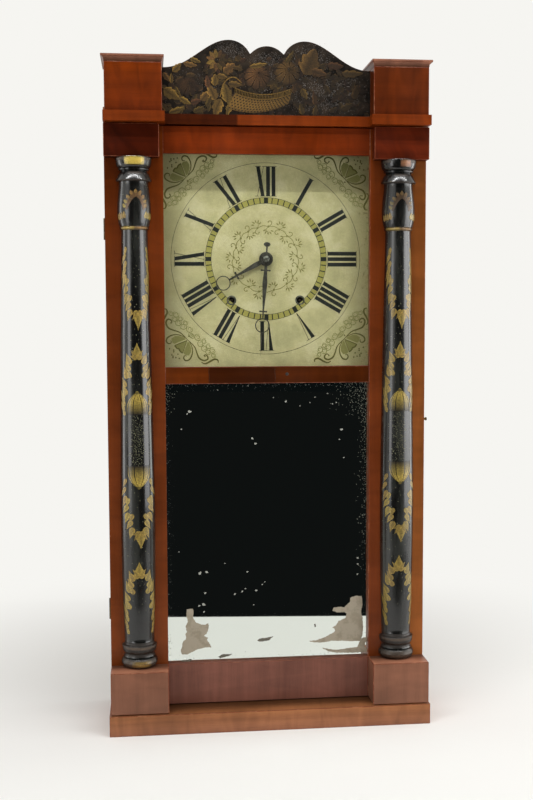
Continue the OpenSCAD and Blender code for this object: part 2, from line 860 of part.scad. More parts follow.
flange_r = drum_r + 4;
flange_t = 2;
square_half = 2.2;
square_set = 3;
module drum(c) {
    color(CHERRY) {
        bar(c, drum_r, cord_y - drum_half, cord_y + drum_half, 48);
        bar(c, flange_r, cord_y - drum_half, cord_y - drum_half + flange_t, 48);
        bar(c, flange_r, cord_y + drum_half - flange_t, cord_y + drum_half, 48);
    }
    color(IRON) {
        bar(c, winding_r, front_y - 3, back_plate_y - shake);
        bar(c, pivot_r, back_plate_y - 1, pivot_end);
        translate([c[0], 0, c[1]]) rotate([0, 45, 0])
            block(-square_half, square_half, dial_y + square_set, front_y - 2.9, -square_half,
                square_half);
    }
}

module time_drum() {
    drum(time_c);
}

module strike_drum() {
    drum(strike_c);
}

strike_dir = dir_of(strike_c, pin_c);
pin_pinion_a = mesh_angle(strike_dir, great_teeth, great_leaves, strike_dir);
fly_dir = dir_of(pin_c, fly_c);
fly_pinion_a = mesh_angle(0, pin_teeth, train_leaves, fly_dir);
count_r = 30;
blows = 78;
notch_d = 4;
notch_w = 2.4;

// Great wheel with the notched count wheel fixed to its back
module strike_great_wheel() {
    color(CHERRY) slab(strike_great_y, great_t)
        wheel2d(strike_c, great_teeth, great_m, strike_dir, winding_r + run);
    color(BRASS) slab(strike_great_y + great_t - eps, count_t) translate(strike_c) difference() {
        circle(r = count_r, $fn = flat_fn);
        circle(r = winding_r + run, $fn = flat_fn);
        for (n = [1:12]) rotate(360 * n * (n + 1) / 2 / blows) translate([count_r
            - notch_d, -notch_w / 2]) square([2 * notch_d, notch_w]);
    }
}

module pin_wheel() {
    color(CHERRY) slab(pin_wheel_y, train_t) wheel2d(pin_c, pin_teeth, pin_m, 0);
    color(BRASS) {
        slab(strike_great_y - leaf_over, great_t + 2 * leaf_over)
            pinion2d(pin_c, great_leaves, great_m, pin_pinion_a);
        arbor(pin_c, arbor_r);
        for (i = [0:pin_count - 1]) bar(pin_c + polar(pin_ring, 360 * i / pin_count), lift_pin_r,
            pin_wheel_y + train_t - eps, pin_wheel_y + train_t + lift_pin_h, 8);
    }
}

fly_r = 15;
fly_t = 1.2;
module fly() {
    color(BRASS) {
        slab(pin_wheel_y - leaf_over, train_t + 2 * leaf_over)
            pinion2d(fly_c, train_leaves, pin_m, fly_pinion_a);
        arbor(fly_c, thin_arbor_r);
        block(fly_c[0] - fly_r, fly_c[0] + fly_r, fly_y, fly_y + fly_w, fly_c[1] - fly_t / 2,
            fly_c[1] + fly_t / 2);
    }
}

bell_x = 44;
bell_rise = 6;
bell_c = [bell_x, plate_z1 + bell_r + bell_rise];
bell_y = cord_y - 6;
bell_t = 1.6;
head_r = 5;
head_len = 8;
hammer_wire = 2.2;
head_gap = 1;
head_c = [bell_c[0] - bell_r - head_r - head_gap, bell_c[1]];

module bell() {
    depth = 15;
    color(IRON) {
        translate([bell_c[0], bell_y, bell_c[1]]) rotate([-90, 0, 0]) rotate_extrude()
            polygon([[bell_r, 0], [bell_r - 0.6, depth * 0.5], [bell_r * 0.7, depth * 0.9],
                [0, depth], [0, depth - bell_t], [bell_r * 0.64, depth * 0.76],
                [bell_r - bell_t - 0.6, depth * 0.45], [bell_r - bell_t, 0]]);
        bar(bell_c, 2.4, bell_y + depth - eps, board_y, 24);
    }
}

module stroke2d(p, q, w) {
    d = norm(q - p);
    translate(p) rotate(dir_of(p, q)) translate([0, -w / 2]) square([d, w]);
}

tail_end = pin_c + polar(pin_ring + 2.6, 62);
module hammer() {
    color(STEEL) {
        arbor(hammer_c, hammer_wire);
        slab(hammer_y, hammer_t) {
            stroke2d(hammer_c, head_c, hammer_wire);
            stroke2d(hammer_c, tail_end, hammer_wire);
        }
        bar(head_c, head_r, bell_y - head_len / 2, bell_y + head_len / 2, 32);
    }
}

// ---------- weights, pulleys, cords ----------

loop_r = 5;
loop_wire = 1.2;
knot_r = 2.4;
knot_gap = 0.4;
weight_edge = 3;
module weight() {
    e = weight_edge;
    color(IRON) translate([weight_x, cord_y, weight_foot]) {
        rotate_extrude() polygon([[0, 0], [weight_r - e, 0], [weight_r, e],
            [weight_r, weight_h - e], [weight_r - e, weight_h], [0, weight_h]]);
        translate([0, 0, weight_h + loop_r + loop_wire / 2]) rotate([90, 0, 0]) rotate_extrude()
            translate([loop_r, 0]) circle(r = loop_wire, $fn = 16);
        translate([0, 0, weight_h + 2 * loop_r]) cylinder(r = knot_r, h = hook_h - 2 * loop_r
            - knot_gap);
    }
}

module time_weight() {
    weight();
}

module strike_weight() {
    mirror([1, 0, 0]) weight();
}

rim_t = 1.2;
groove_play = 0.2;
module pulley() {
    color(CHERRY) translate([pulley_c[0], cord_y, pulley_c[1]]) rotate([90, 0, 0])
        rotate_extrude() polygon([[pulley_pin_r, -pulley_t / 2], [pulley_r, -pulley_t / 2],
            [pulley_r, rim_t - pulley_t / 2], [drum_r, -cord_r - groove_play],
            [drum_r, cord_r + groove_play], [pulley_r, pulley_t / 2 - rim_t],
            [pulley_r, pulley_t / 2],
            [pulley_pin_r, pulley_t / 2]]);
    color(IRON) bar(pulley_c, pulley_pin_r, cord_y - pulley_pin_half, cord_y + pulley_pin_half,
        24);
}

module time_pulley() {
    pulley();
}

module strike_pulley() {
    mirror([1, 0, 0]) pulley();
}

// Cord from the drum's outer side up to the pulley and over it, to the pulley's outer side
cord_sides = 8;
wrap_n = 14;
cord_dist = norm(pulley_c - time_c);
cord_a = dir_of(time_c, pulley_c) + asin(2 * cord_line / cord_dist);

// Centre line as [x, z, direction]: off the drum, then round the pulley
cord_off = time_c + polar(cord_line, cord_a - 90);
cord_path = concat([[cord_off[0], cord_off[1], cord_a]], [for (i = [0:wrap_n])
    let (t = (cord_a + 90) * (1 - i / wrap_n), q = pulley_c + polar(cord_line, t))
    [q[0], q[1], t - 90]]);

function cord_ring(q) = [for (k = [0:cord_sides - 1]) let (b = 360 * k / cord_sides,
    n = polar(cord_r * cos(b), q[2] + 90)) [q[0] + n[0], cord_y + cord_r * sin(b), q[1] + n[1]]];

module cord() {
    m = cord_sides;
    rings = len(cord_path);
    walls = [for (i = [0:rings - 2], k = [0:m - 1]) let (j = (k + 1) % m)
        each [[i * m + k, i * m + j, i * m + m + j], [i * m + k, i * m + m + j, i * m + m + k]]];
    ends = [[for (k = [m - 1:-1:0]) k], [for (k = [0:m - 1]) (rings - 1) * m + k]];
    color(CORD) polyhedron([for (q = cord_path) each cord_ring(q)], concat(walls, ends));
}

module time_cord() {
    cord();
}

module strike_cord() {
    mirror([1, 0, 0]) cord();
}

module cord_drop() {
    color(CORD) translate([weight_x, cord_y, weight_top])
        cylinder(r = cord_r, h = pulley_c[1] - weight_top - eps, $fn = 16);
}

module time_cord_drop() {
    cord_drop();
}

module strike_cord_drop() {
    mirror([1, 0, 0]) cord_drop();
}

// ---------- door ----------

module rebate(z0, z1) {
    block(-sight_x - rebate_w, sight_x + rebate_w, glass_y, door_back_y + 1,
        z0 - rebate_w, z1 + rebate_w);
}

module rebates() {
    rebate(mirror_z0, mirror_z1);
    rebate(sight_z0, sight_z1);
}

module stile(x0, x1) {
    color(WOOD) difference() {
        block(x0, x1, face_y, door_back_y, door_z0, door_z1);
        rebates();
        hinge_mortises(door_back_y, -1);
    }
}

module door_left_stile() {
    stile(-half_w, -sight_x);
}

module door_right_stile() {
    stile(sight_x, half_w);
}

module rail(z0, z1) {
    color(WOOD) difference() {
        block(-sight_x, sight_x, face_y, door_back_y, z0, z1);
        rebates();
    }
}

module door_top_rail() {
    rail(sight_z1, door_z1);
}

module door_mid_rail() {
    rail(mirror_z1, sight_z0);
}

module door_bottom_rail() {
    rail(door_z0, mirror_z0);
}

module pane(z0, z1, t, y) {
    block(-sight_x - rebate_w + glass_play, sight_x + rebate_w - glass_play, y, y + t,
        z0 - rebate_w + glass_play, z1 + rebate_w - glass_play);
}

module dial_glass() {
    color("#dfe6e4", 0.3) pane(sight_z0, sight_z1, dial_glass_t, glass_y);
}

module mirror_glass() {
    color("#20262a") pane(mirror_z0, mirror_z1, mirror_t, glass_y);
}

module mirror_backing() {
    color(PINE) pane(mirror_z0, mirror_z1, mirror_back_t, glass_y + mirror_t);
}

module frieze_blocks() {
    z0 = door_z1 - frieze_h;
    color(DARK_WOOD) {
        block(-half_w, -half_w + frieze_left_w, face_y - frieze_d, face_y, z0, door_z1);
        block(half_w - frieze_right_w, half_w, face_y - frieze_d, face_y, z0, door_z1);
    }
}

module plinth_blocks() {
    color(WOOD) both_sides() block(sight_x, half_w, face_y - plinth_d, face_y, door_z0,
        door_z0 + plinth_h);
}

// Profile of the turned column, as radius and height above its foot
column_h = door_z1 - frieze_h - door_z0 - plinth_h;
function torus_pts(r, z, h, n) = [for (i = [0:n]) let (a = -90 + 180 * i / n)
    [r - h / 2 + h / 2 * cos(a), z + h / 2 + h / 2 * sin(a)]];
foot_torus_h = 14;
neck_ring_z = column_h - 88.5;
neck_ring_h = 4;
torus_n = 8;
belly_at = 0.33;
taper_power = 1.25;
function shaft_r(t) = t < belly_at ? shaft_r_belly - (shaft_r_belly - shaft_r_foot)
        * pow(1 - t / belly_at, 2) :
    shaft_r_belly - (shaft_r_belly - shaft_r_neck)
        * pow((t - belly_at) / (1 - belly_at), taper_power);
shaft_z0 = 32;
shaft_n = 12;
urn_z0 = neck_ring_z + neck_ring_h;
urn_z1 = column_h - 32;
urn_waist_r = shaft_r_neck + 1.9;
urn_lean = 0.72;
urn_power = 1.2;
function urn_curve(t) = urn_waist_r + (urn_r - urn_waist_r)
    * pow(sin(180 * pow(t, urn_lean)), urn_power);
urn_n = 12;

// The lipped ring over the foot torus, from its radius and its top
foot_ring = [[-2.8, 0.2], [-4.2, 2.4], [-4.2, 4.6], [-2.6, 6.4], [-1.6, 9.4], [-0.9, 13.2],
    [-0.9, 14.8], [-1.8, 15.6], [-3.4, 16.2]];
// The capital's skirt, its two fillets and its cup, from its radius and its top
capital_rings = [[-4.5, -29.8], [-0.9, -29.4], [-0.1, -28.6], [-0.6, -27], [-2.4, -23.6],
    [-4, -20], [-5.6, -18.2], [-6.4, -16.8], [-3.6, -15.4], [-3.4, -14.4], [-4.6, -13.6],
    [-3, -12.4], [-1.6, -10.6], [-0.8, -7.6], [-0.2, -3.4], [0, -1.2], [-0.6, 0]];

function column_pts() = concat([[0, 0]],
    torus_pts(foot_torus_r, 0, foot_torus_h, torus_n),
    [for (p = foot_ring) [foot_torus_r + p[0], foot_torus_h + p[1]]],
    [for (i = [0:shaft_n]) [shaft_r(i / shaft_n),
        shaft_z0 + (neck_ring_z - shaft_z0) * i / shaft_n]],
    torus_pts(shaft_r_neck + 1.9, neck_ring_z + eps, neck_ring_h - 2 * eps, torus_n),
    [for (i = [0:urn_n]) [urn_curve(i / urn_n), urn_z0 + (urn_z1 - urn_z0) * i / urn_n]],
    [for (p = capital_rings) [capital_r + p[0], column_h + p[1]]],
    [[0, column_h]]);

module half_column() {
    color(BLACK) translate([column_x, face_y, door_z0 + plinth_h])
        rotate([0, 0, 180]) rotate_extrude(angle = 180) polygon(column_pts());
}

module half_column_right() {
    half_column();
}

module half_column_left() {
    mirror([1, 0, 0]) half_column();
}

// ---------- hinges and latch ----------

hinge_zs = [hinge_low_z, hinge_high_z];
knuckles = 3;
knuckle_gap = 0.3;
knuckle_room = 0.5;
seat_play = 0.1;
knuckle_h = hinge_h / knuckles;

// Shallow seats for the hinge leaves, cut behind (side 1) or before (side -1) the plane y
module hinge_mortises(y, side) {
    for (z = hinge_zs) {
        block(-half_w - 1, -half_w + side_t - leaf_inset + seat_play, min(y, y + side * leaf_t),
            max(y, y + side * leaf_t), z - hinge_h / 2 - seat_play, z + hinge_h / 2 + seat_play);
        translate([hinge_x, hinge_y, z - hinge_h / 2 - knuckle_room])
            cylinder(r = knuckle_r + knuckle_room, h = hinge_h + 2 * knuckle_room);
    }
}

// One leaf of each hinge, lying in its seat, with the knuckles that it carries
module hinge_leaves(y, side, odd) {
    for (z = hinge_zs) difference() {
        union() {
            block(hinge_x, -half_w + side_t - leaf_inset, min(y, y + side * leaf_t),
                max(y, y + side * leaf_t), z - hinge_h / 2, z + hinge_h / 2);
            for (i = [0:knuckles - 1]) if (i % 2 == odd)
                translate([hinge_x, hinge_y, z - hinge_h / 2 + i * knuckle_h + knuckle_gap / 2])
                    cylinder(r = knuckle_r, h = knuckle_h - knuckle_gap);
        }
        for (i = [0:knuckles - 1]) if (i % 2 != odd)
            translate([hinge_x, hinge_y, z - hinge_h / 2 + i * knuckle_h - knuckle_gap / 2])
                cylinder(r = knuckle_r + knuckle_gap, h = knuckle_h + knuckle_gap);
        if (odd == 1) translate([hinge_x, hinge_y, z - hinge_h])
            cylinder(r = hinge_pin_r + pin_play, h = 2 * hinge_h);
    }
}

// The case leaves carry the pins
module case_hinge_leaves() {
    color(BRASS) {
        hinge_leaves(case_y, 1, 0);
        for (z = hinge_zs) translate([hinge_x, hinge_y, z - hinge_h / 2])
            cylinder(r = hinge_pin_r, h = hinge_h);
    }
}

module door_hinge_leaves() {
    color(BRASS) hinge_leaves(door_back_y, -1, 1);
}

latch_r = 1.5;
latch_y = face_y + door_t / 2;
latch_reach = 5.2;
latch_head_t = 1.6;
latch_head_lip = 0.6;
hook_t = 1.6;
hook_w = 5;
hook_gap = 0.5;
hook_x = half_w + hook_gap;
hook_screw_y = latch_y + hook_len;
hook_pivot_r = 1.6;
hook_pivot_len = 9;
hook_tip = 3.4;
hook_play = 0.06;
hook_head_r = 3;
hook_head_t = 1.6;

module latch_pin() {
    color(IRON) translate([half_w, latch_y, latch_z]) rotate([0, 90, 0]) {
        cylinder(r = latch_r, h = latch_reach - latch_head_t / 2);
        translate([0, 0, latch_reach - latch_head_t])
            cylinder(r = latch_r + latch_head_lip, h = latch_head_t);
    }
}

// Hangs from its pivot at rest; swung up and over, it drops on the pin from above
module door_hook() {
    notch_r = latch_r + run;
    color(BRASS) translate([hook_x, hook_screw_y, latch_z]) {
        difference() {
            union() {
                rotate([0, 90, 0]) cylinder(r = hook_w * 0.75, h = hook_t);
                translate([0, -hook_w / 2, -hook_len - hook_tip])
                    cube([hook_t, hook_w, hook_len + hook_tip]);
            }
            translate([-1, 0, -hook_len]) rotate([0, 90, 0])
                cylinder(r = notch_r, h = hook_t + 2);
            translate([-1, 0, -hook_len - notch_r]) cube([hook_t + 2, hook_w, 2 * notch_r]);
        }
        translate([-hook_pivot_len, 0, 0]) rotate([0, 90, 0])
            cylinder(r = hook_pivot_r, h = hook_pivot_len + hook_t + eps);
        translate([hook_t, 0, 0]) rotate([0, 90, 0]) cylinder(r = hook_head_r, h = hook_head_t);
    }
}

base_front_rail();
base_side_rails();
case_left_side();
case_right_side();
case_bottom_board();
backboard();
cornice_plate();
tower_block_left();
tower_block_right();
tower_caps();
splat();
pulley_covers();
dial_rails();
dial();
movement_rails();
movement_front_plate();
movement_back_plate();
movement_pillars();
bell();
case_hinge_leaves();
time_cord();
strike_cord();
door_left_stile();
door_right_stile();
door_top_rail();
door_mid_rail();
door_bottom_rail();
frieze_blocks();
plinth_blocks();
half_column_left();
half_column_right();
dial_glass();
mirror_glass();
mirror_backing();
door_hinge_leaves();
latch_pin();
door_hook();
minute_hand();
centre_wheel();
hour_hand();
hour_wheel();
minute_wheel();
time_great_wheel();
third_wheel();
escape_wheel();
verge();
pendulum_rod();
pendulum_bob();
time_drum();
strike_drum();
strike_great_wheel();
pin_wheel();
fly();
hammer();
time_weight();
strike_weight();
time_pulley();
strike_pulley();
time_cord_drop();
strike_cord_drop();
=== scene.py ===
"""Looks of the half-column and splat shelf clock: finishes, painted ornament, nails, and the studio.

model.glb gives every solid. This script dresses the solids and lays the paint, stencils, silvering
faults and fasteners on them. Everything is in metres, with +Z up and the clock's front facing -Y.
"""
import logging
import random
from collections.abc import Callable, Sequence
from dataclasses import dataclass, field
from enum import Enum
from math import atan2, cos, degrees, hypot, pi, radians, sin

import bmesh
import bpy
from mathutils import Matrix, Vector


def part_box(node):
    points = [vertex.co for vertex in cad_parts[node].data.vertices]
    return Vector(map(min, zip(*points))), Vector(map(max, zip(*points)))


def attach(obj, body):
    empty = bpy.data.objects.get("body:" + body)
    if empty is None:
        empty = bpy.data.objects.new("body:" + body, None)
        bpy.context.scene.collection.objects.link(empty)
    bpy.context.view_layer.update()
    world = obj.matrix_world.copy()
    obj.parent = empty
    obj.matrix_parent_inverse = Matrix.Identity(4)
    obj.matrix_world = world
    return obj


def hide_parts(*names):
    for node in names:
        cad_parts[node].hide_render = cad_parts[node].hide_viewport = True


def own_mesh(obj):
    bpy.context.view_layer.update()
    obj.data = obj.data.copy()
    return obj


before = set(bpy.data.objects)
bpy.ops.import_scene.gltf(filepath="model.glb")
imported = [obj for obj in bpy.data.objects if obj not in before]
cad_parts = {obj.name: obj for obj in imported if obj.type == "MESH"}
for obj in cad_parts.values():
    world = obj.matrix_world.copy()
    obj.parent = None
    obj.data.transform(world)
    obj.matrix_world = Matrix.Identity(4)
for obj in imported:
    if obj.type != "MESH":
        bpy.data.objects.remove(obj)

log = logging.getLogger("shelf_clock")

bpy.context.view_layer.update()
MM = 0.001
Pair = tuple[float, float]
Triple = tuple[float, float, float]
Placing = Callable[[float, float, float], Vector]
Rule = Callable[[float, float], float]
Table = tuple[tuple[float, ...], ...]
Tree, Socket = bpy.types.NodeTree, bpy.types.NodeSocket
Material, Mesh, Thing = bpy.types.Material, bpy.types.Mesh, bpy.types.Object


class Body(Enum):
    """The moving bodies that new pieces ride on."""

    CASE = "case"
    DOOR = "door"
    MINUTE = "minute_arbor"
    TIME_DRUM = "time_drum"
    STRIKE_DRUM = "strike_drum"
    TIME_WEIGHT = "time_weight"
    STRIKE_WEIGHT = "strike_weight"


class Slot(Enum):
    """The record's material slots; each new piece is given one as an argument."""

    VENEER = "mahogany_veneer"
    BLACK = "black_stencilled_wood"
    DIAL = "painted_dial"
    BRASS = "old_brass"
    IRON = "dark_iron"
    SILVERED = "silvered_glass"
    CORD = "cord"


class Grain(Enum):
    """The axis that a board's grain runs along."""

    LEVEL = 0
    DEPTH = 1
    UPRIGHT = 2


class Edge(Enum):
    """How the edges of a solid are finished."""

    CUT = "sawn and planed, its corners rubbed round"
    TURNED = "turned or cast, smooth round its axis"
    PLAIN = "left as it is"


# ---------- shared tools ----------


def linear(code: str) -> tuple[float, float, float, float]:
    """Turns an sRGB hex colour, as "#rrggbb", into linear red, green, blue and a full alpha."""
    parts = [int(code[i : i + 2], 16) / 255 for i in (1, 3, 5)]
    light = [p / 12.92 if p <= 0.04045 else ((p + 0.055) / 1.055) ** 2.4 for p in parts]
    return light[0], light[1], light[2], 1.0


def add(tree: Tree, kind: str, inputs: dict | Sequence = (), out: int | str = 0,
        stops: Sequence[tuple[float, str]] = (), **settings) -> Socket | None:
    """Adds a node with its settings, and sets or links its inputs.

    Args:
        tree: The tree that gets the node.
        kind: The node's type name, without ShaderNode in front.
        inputs: Values by name or number, or in order from the first input. A socket is linked,
            and a hex colour is turned into linear light.
        out: The output to give back.
        stops: Places and colours of a colour ramp.
        settings: The node's own properties.

    Returns:
        The chosen output, or None for a node without one.
    """
    made = tree.nodes.new(kind if "Node" in kind else f"ShaderNode{kind}")
    for name, value in settings.items():
        setattr(made, name, value)
    for key, value in inputs.items() if isinstance(inputs, dict) else enumerate(inputs):
        if isinstance(value, Socket):
            tree.links.new(value, made.inputs[key])
        else:
            coloured = isinstance(value, str) and value.startswith("#")
            made.inputs[key].default_value = linear(value) if coloured else value
    for i, (where, code) in enumerate(stops):
        ramp = made.color_ramp.elements
        stop = ramp[i] if i < len(ramp) else ramp.new(where)
        stop.position = where
        stop.color = linear(code)
    return made.outputs[out] if made.outputs else None


def fold(tree: Tree, operation: str, *parts: Socket | float) -> Socket:
    """Joins two or more values by one kind of sum, from the first to the last."""
    whole = parts[0]
    for part in parts[1:]:
        whole = add(tree, "Math", [whole, part], operation=operation)
    return whole


def new_material(name: str) -> tuple[Material, Tree]:
    """Makes an empty node material, and gives its tree with it."""
    material = bpy.data.materials.new(name)
    material.use_nodes = True
    material.node_tree.nodes.clear()
    return material, material.node_tree


def new_mesh(name: str, spots: Sequence[Vector], faces: Sequence[tuple[int, ...]]) -> Mesh:
    """Makes a mesh from points and faces."""
    made = bpy.data.meshes.new(name)
    made.from_pydata(spots, [], faces)
    return made


def stand(name: str, data: bpy.types.ID) -> Thing:
    """Puts a mesh, a light or a camera in the scene."""
    made = bpy.data.objects.new(name, data)
    bpy.context.scene.collection.objects.link(made)
    return made


def swung(foot: Pair, angle: float, x: float, y: float) -> Pair:
    """Gives the point x ahead and y to the left of a foot, facing an angle in radians."""
    return foot[0] + x * cos(angle) - y * sin(angle), foot[1] + x * sin(angle) + y * cos(angle)


def close(material: Material, shader: dict, height: Socket | None = None,
        depth_mm: float = 0.05) -> Material:
    """Ends a material with its shader, its bump and its output.

    Args:
        material: The material whose tree is ready but for its end.
        shader: Inputs of the shader.
        height: Height of the surface's relief, from 0 to 1.
        depth_mm: Depth of that relief.

    Returns:
        The same material.
    """
    tree = material.node_tree
    if height is not None:
        shader["Normal"] = add(tree, "Bump",
            {"Height": height, "Strength": 1.0, "Distance": depth_mm * MM})
    surface = add(tree, "BsdfPrincipled", shader)
    add(tree, "OutputMaterial", {"Surface": surface})
    return material


def millimetres(tree: Tree, scale: Sequence[float] = (1, 1, 1), shift: float = 0) -> Socket:
    """Gives Object coordinates in millimetres, scaled on each axis and shifted."""
    place = add(tree, "TexCoord", out="Object")
    away = (shift * 7.1, shift * 3.7, shift * 5.3)
    return add(tree, "Mapping", {"Vector": place, "Scale": [s / MM for s in scale], "Location": away})


def along_axis(tree: Tree, axis: str, seen: str = "Object") -> Socket:
    """Gives how far a point, or what else is named, reaches along one axis."""
    return add(tree, "SeparateXYZ", [add(tree, "TexCoord", out=seen)], out=axis)


def clouds(tree: Tree, size_mm: float, detail: float = 2.0, roughness: float = 0.5,
        at: Socket | None = None, bent: float = 0.0) -> Socket:
    """Gives soft patches of a real size.

    Args:
        tree: The tree that gets the nodes.
        size_mm: Width of the widest patches.
        detail: How many finer sizes lie over them.
        roughness: Strength of the finer sizes.
        at: Coordinates in millimetres, where they aren't the plain ones.
        bent: How far the patches are bent.

    Returns:
        The patches, as values from 0 to 1.
    """
    place = millimetres(tree) if at is None else at
    return add(tree, "TexNoise", {"Vector": place, "Scale": 1 / size_mm, "Detail": detail,
        "Roughness": roughness, "Distortion": bent})


@dataclass(frozen=True)
class Box:
    """The lowest and highest corner of something, in metres."""

    low: Vector
    high: Vector

    @classmethod
    def of(cls, node: str) -> "Box":
        """The box of a CAD node."""
        return cls(*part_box(node))

    @property
    def centre(self) -> Vector:
        """The middle of the box."""
        return (self.low + self.high) / 2

    @property
    def size(self) -> Vector:
        """The lengths of the box's edges."""
        return self.high - self.low


# ---------- finishes ----------


@dataclass(frozen=True)
class Veneer:
    """Mahogany veneer under old shellac.

    It gives the eye a warm red-brown with soft bands along the grain, a faint figure across it,
    fine open pores and a low gloss. Its colour runs from the foot colour up to the top colour;
    where the foot is paler and greyer, that is a painted reflection of the pale floor.
    """

    name: str
    top: str
    foot: str
    grain: Grain = Grain.UPRIGHT
    seed: int = 1
    band_mm: float = 9
    figure: float = 0.3
    slant: float = 0
    gloss: float = 0.34
    pores: float = 0.9
    sheen_span: Pair | None = None
    sheen_top: str = "#000000"
    sheen_foot: str = "#000000"
    spans: tuple[Triple, ...] = ()
    # How strongly faces that look up get painted light and shade: lighter at the front, darker behind; 1
    # leaves them alone.
    upper: float = 1.0

    def material(self, box: Box) -> Material:
        """Makes the material for a panel that fills the box."""
        made, tree = new_material(self.name)
        stretch, across = [1.0] * 3, [1 / 3.5] * 3
        stretch[self.grain.value] = 1 / 26
        across[self.grain.value] = 1.0
        along = millimetres(tree, stretch, self.seed)
        turned = add(tree, "Mapping", {"Vector": add(tree, "TexCoord", out="Object"),
            "Rotation": (0, radians(self.slant), 0)})
        over = add(tree, "VectorMath", [turned, [a / MM for a in across]], operation="MULTIPLY")
        bands = clouds(tree, self.band_mm, 4.0, at=along, bent=0.5)
        pores = clouds(tree, 0.8, at=along)  # real pores are finer; this is the finest that shows
        figure = clouds(tree, 17, at=over, bent=0.8)
        cloud = clouds(tree, 90, at=millimetres(tree, shift=self.seed))
        shade = fold(tree, "MULTIPLY",
            *(add(tree, "MapRange", row) for row in ([bands, 0.3, 0.7, 0.84, 1.16],
            [pores, 0.3, 0.5, self.pores], [figure, 0.3, 0.7, 1 - self.figure, 1 + self.figure],
            [cloud, 0.35, 0.65, 0.86, 1.12])))
        side = along_axis(tree, "X")
        for x0, x1, factor in self.spans:
            shade = self.span(tree, side, shade, (x0, x1), factor)
        # Painted light and shade on the faces that look up.
        if self.upper != 1:
            shade = fold(tree, "MULTIPLY", shade, self.grime_and_painted_light(tree, box.low.y))
        # Foot colour to top colour by height; a paler foot is a painted reflection of the floor.
        height = add(tree, "MapRange", [along_axis(tree, "Z"), box.low.z, box.high.z])
        base = self.between(tree, height, self.foot, self.top)
        # Painted sheen: towards one side the panel takes on paler sheen colours, a painted reflection of the
        # light at that side.
        if self.sheen_span:
            pale = self.between(tree, height, self.sheen_foot, self.sheen_top)
            share = add(tree, "MapRange", [side, self.sheen_span[0] * MM, self.sheen_span[1] * MM],
                interpolation_type="SMOOTHSTEP")
            base = self.between(tree, share, base, pale)
        colour = add(tree, "VectorMath", {0: base, "Scale": shade}, operation="SCALE")
        rough = add(tree, "MapRange", [cloud, 0.35, 0.65, self.gloss - 0.05, self.gloss + 0.1])
        return close(made, {"Base Color": colour, "Roughness": rough, "IOR": 1.5,
            "Specular IOR Level": 0.15}, pores, 0.02)

    def grime_and_painted_light(self, tree: Tree, front: float) -> Socket:
        """Paints light and shade, with some dirt, on the faces that look up: a painted highlight at
        their front edge and painted shadow further back.
        """
        lit_front = add(tree, "MapRange", [along_axis(tree, "Y"), front + 8 * MM, front + 26 * MM,
            1.7 * self.upper, 0.55 * self.upper])
        return add(tree, "MapRange", [along_axis(tree, "Z", "Normal"), 0.3, 0.8, 1.0, lit_front])

    def between(self, tree: Tree, share: Socket, low: str | Socket, high: str | Socket) -> Socket:
        """Mixes two colours by a share from 0 to 1."""
        return add(tree, "Mix", {0: share, 6: low, 7: high}, out=2, data_type="RGBA")

    def span(self, tree: Tree, side: Socket, shade: Socket, ends: Pair, factor: float) -> Socket:
        """Darkens or lightens one leaf of veneer between two joints.

        Args:
            tree: The material's tree.
            side: Place across the clock, in metres.
            shade: The shade so far.
            ends: The leaf's two ends across the clock, in millimetres.
            factor: How bright the leaf is beside its neighbours.

        Returns:
            The shade with this leaf in it.
        """
        soft = 1.5
        for at, high in zip(ends, (factor, 1 / factor)):
            step = add(tree, "MapRange", [side, (at - soft) * MM, (at + soft) * MM, 1.0, high])
            shade = fold(tree, "MULTIPLY", shade, step)
        return shade


@dataclass(frozen=True)
class WornEdge:
    """The rubbed corner of a veneered board, where the paler wood comes through in patches."""

    name: str = "veneer_worn_edge"
    polish: str = "#6a2c10"
    wood: str = "#9c6549"

    def material(self) -> Material:
        """Makes the material."""
        made, tree = new_material(self.name)
        patches = clouds(tree, 9, 5.0, 0.7)
        bare = add(tree, "MapRange", [patches, 0.5, 0.66])
        colour = add(tree, "Mix", {0: bare, 6: self.polish, 7: self.wood}, out=2, data_type="RGBA")
        return close(made, {"Base Color": colour, "Roughness": 0.5, "IOR": 1.5,
            "Specular IOR Level": 0.35}, patches, 0.08)


@dataclass(frozen=True)
class PlainWood:
    """Unpolished pine or oiled cherry: straight lines of early and late wood, matt, with dirt."""

    name: str
    pale: str
    dark: str
    dirt: str
    grain: Grain = Grain.UPRIGHT
    line_mm: float = 3.2
    roughness: float = 0.7

    def material(self) -> Material:
        """Makes the material."""
        made, tree = new_material(self.name)
        stretch = [1.0, 1.0, 1.0]
        stretch[self.grain.value] = 1 / 30
        along = millimetres(tree, stretch)
        lines = clouds(tree, self.line_mm, 5.0, 0.6, along)
        colour = add(tree, "ValToRGB", {"Fac": lines}, out="Color",
            stops=[(0.36, self.dark), (0.6, self.pale)])
        stain = clouds(tree, 60, 6.0, 0.65)
        darkened = add(tree, "MapRange", [stain, 0.45, 0.75, 0, 0.7])
        mixed = add(tree, "Mix", {0: darkened, 6: colour, 7: self.dirt}, out=2, data_type="RGBA")
        return close(made, {"Base Color": mixed, "Roughness": self.roughness, "Specular IOR Level": 0.3},
            lines, 0.12)


@dataclass(frozen=True)
class Metal:
    """Old metal with a skin of tarnish or rust in patches, and a grain of fine pits."""

    name: str
    clean: str
    tarnish: str
    roughness: float
    patch_mm: float = 7
    metallic: float = 0.9

    def material(self) -> Material:
        """Makes the material."""
        made, tree = new_material(self.name)
        patches = clouds(tree, self.patch_mm, 6.0, 0.65)
        skin = add(tree, "MapRange", [patches, 0.38, 0.62])
        colour = add(tree, "Mix", {0: skin, 6: self.clean, 7: self.tarnish}, out=2, data_type="RGBA")
        rough = add(tree, "MapRange", [patches, 0.3, 0.7, self.roughness, self.roughness + 0.2])
        bare = add(tree, "MapRange", [skin, 0, 1, self.metallic, self.metallic * 0.6])
        pits = clouds(tree, 1 / 1.2, 3.0)
        return close(made, {"Base Color": colour, "Roughness": rough, "Metallic": bare}, pits, 0.04)


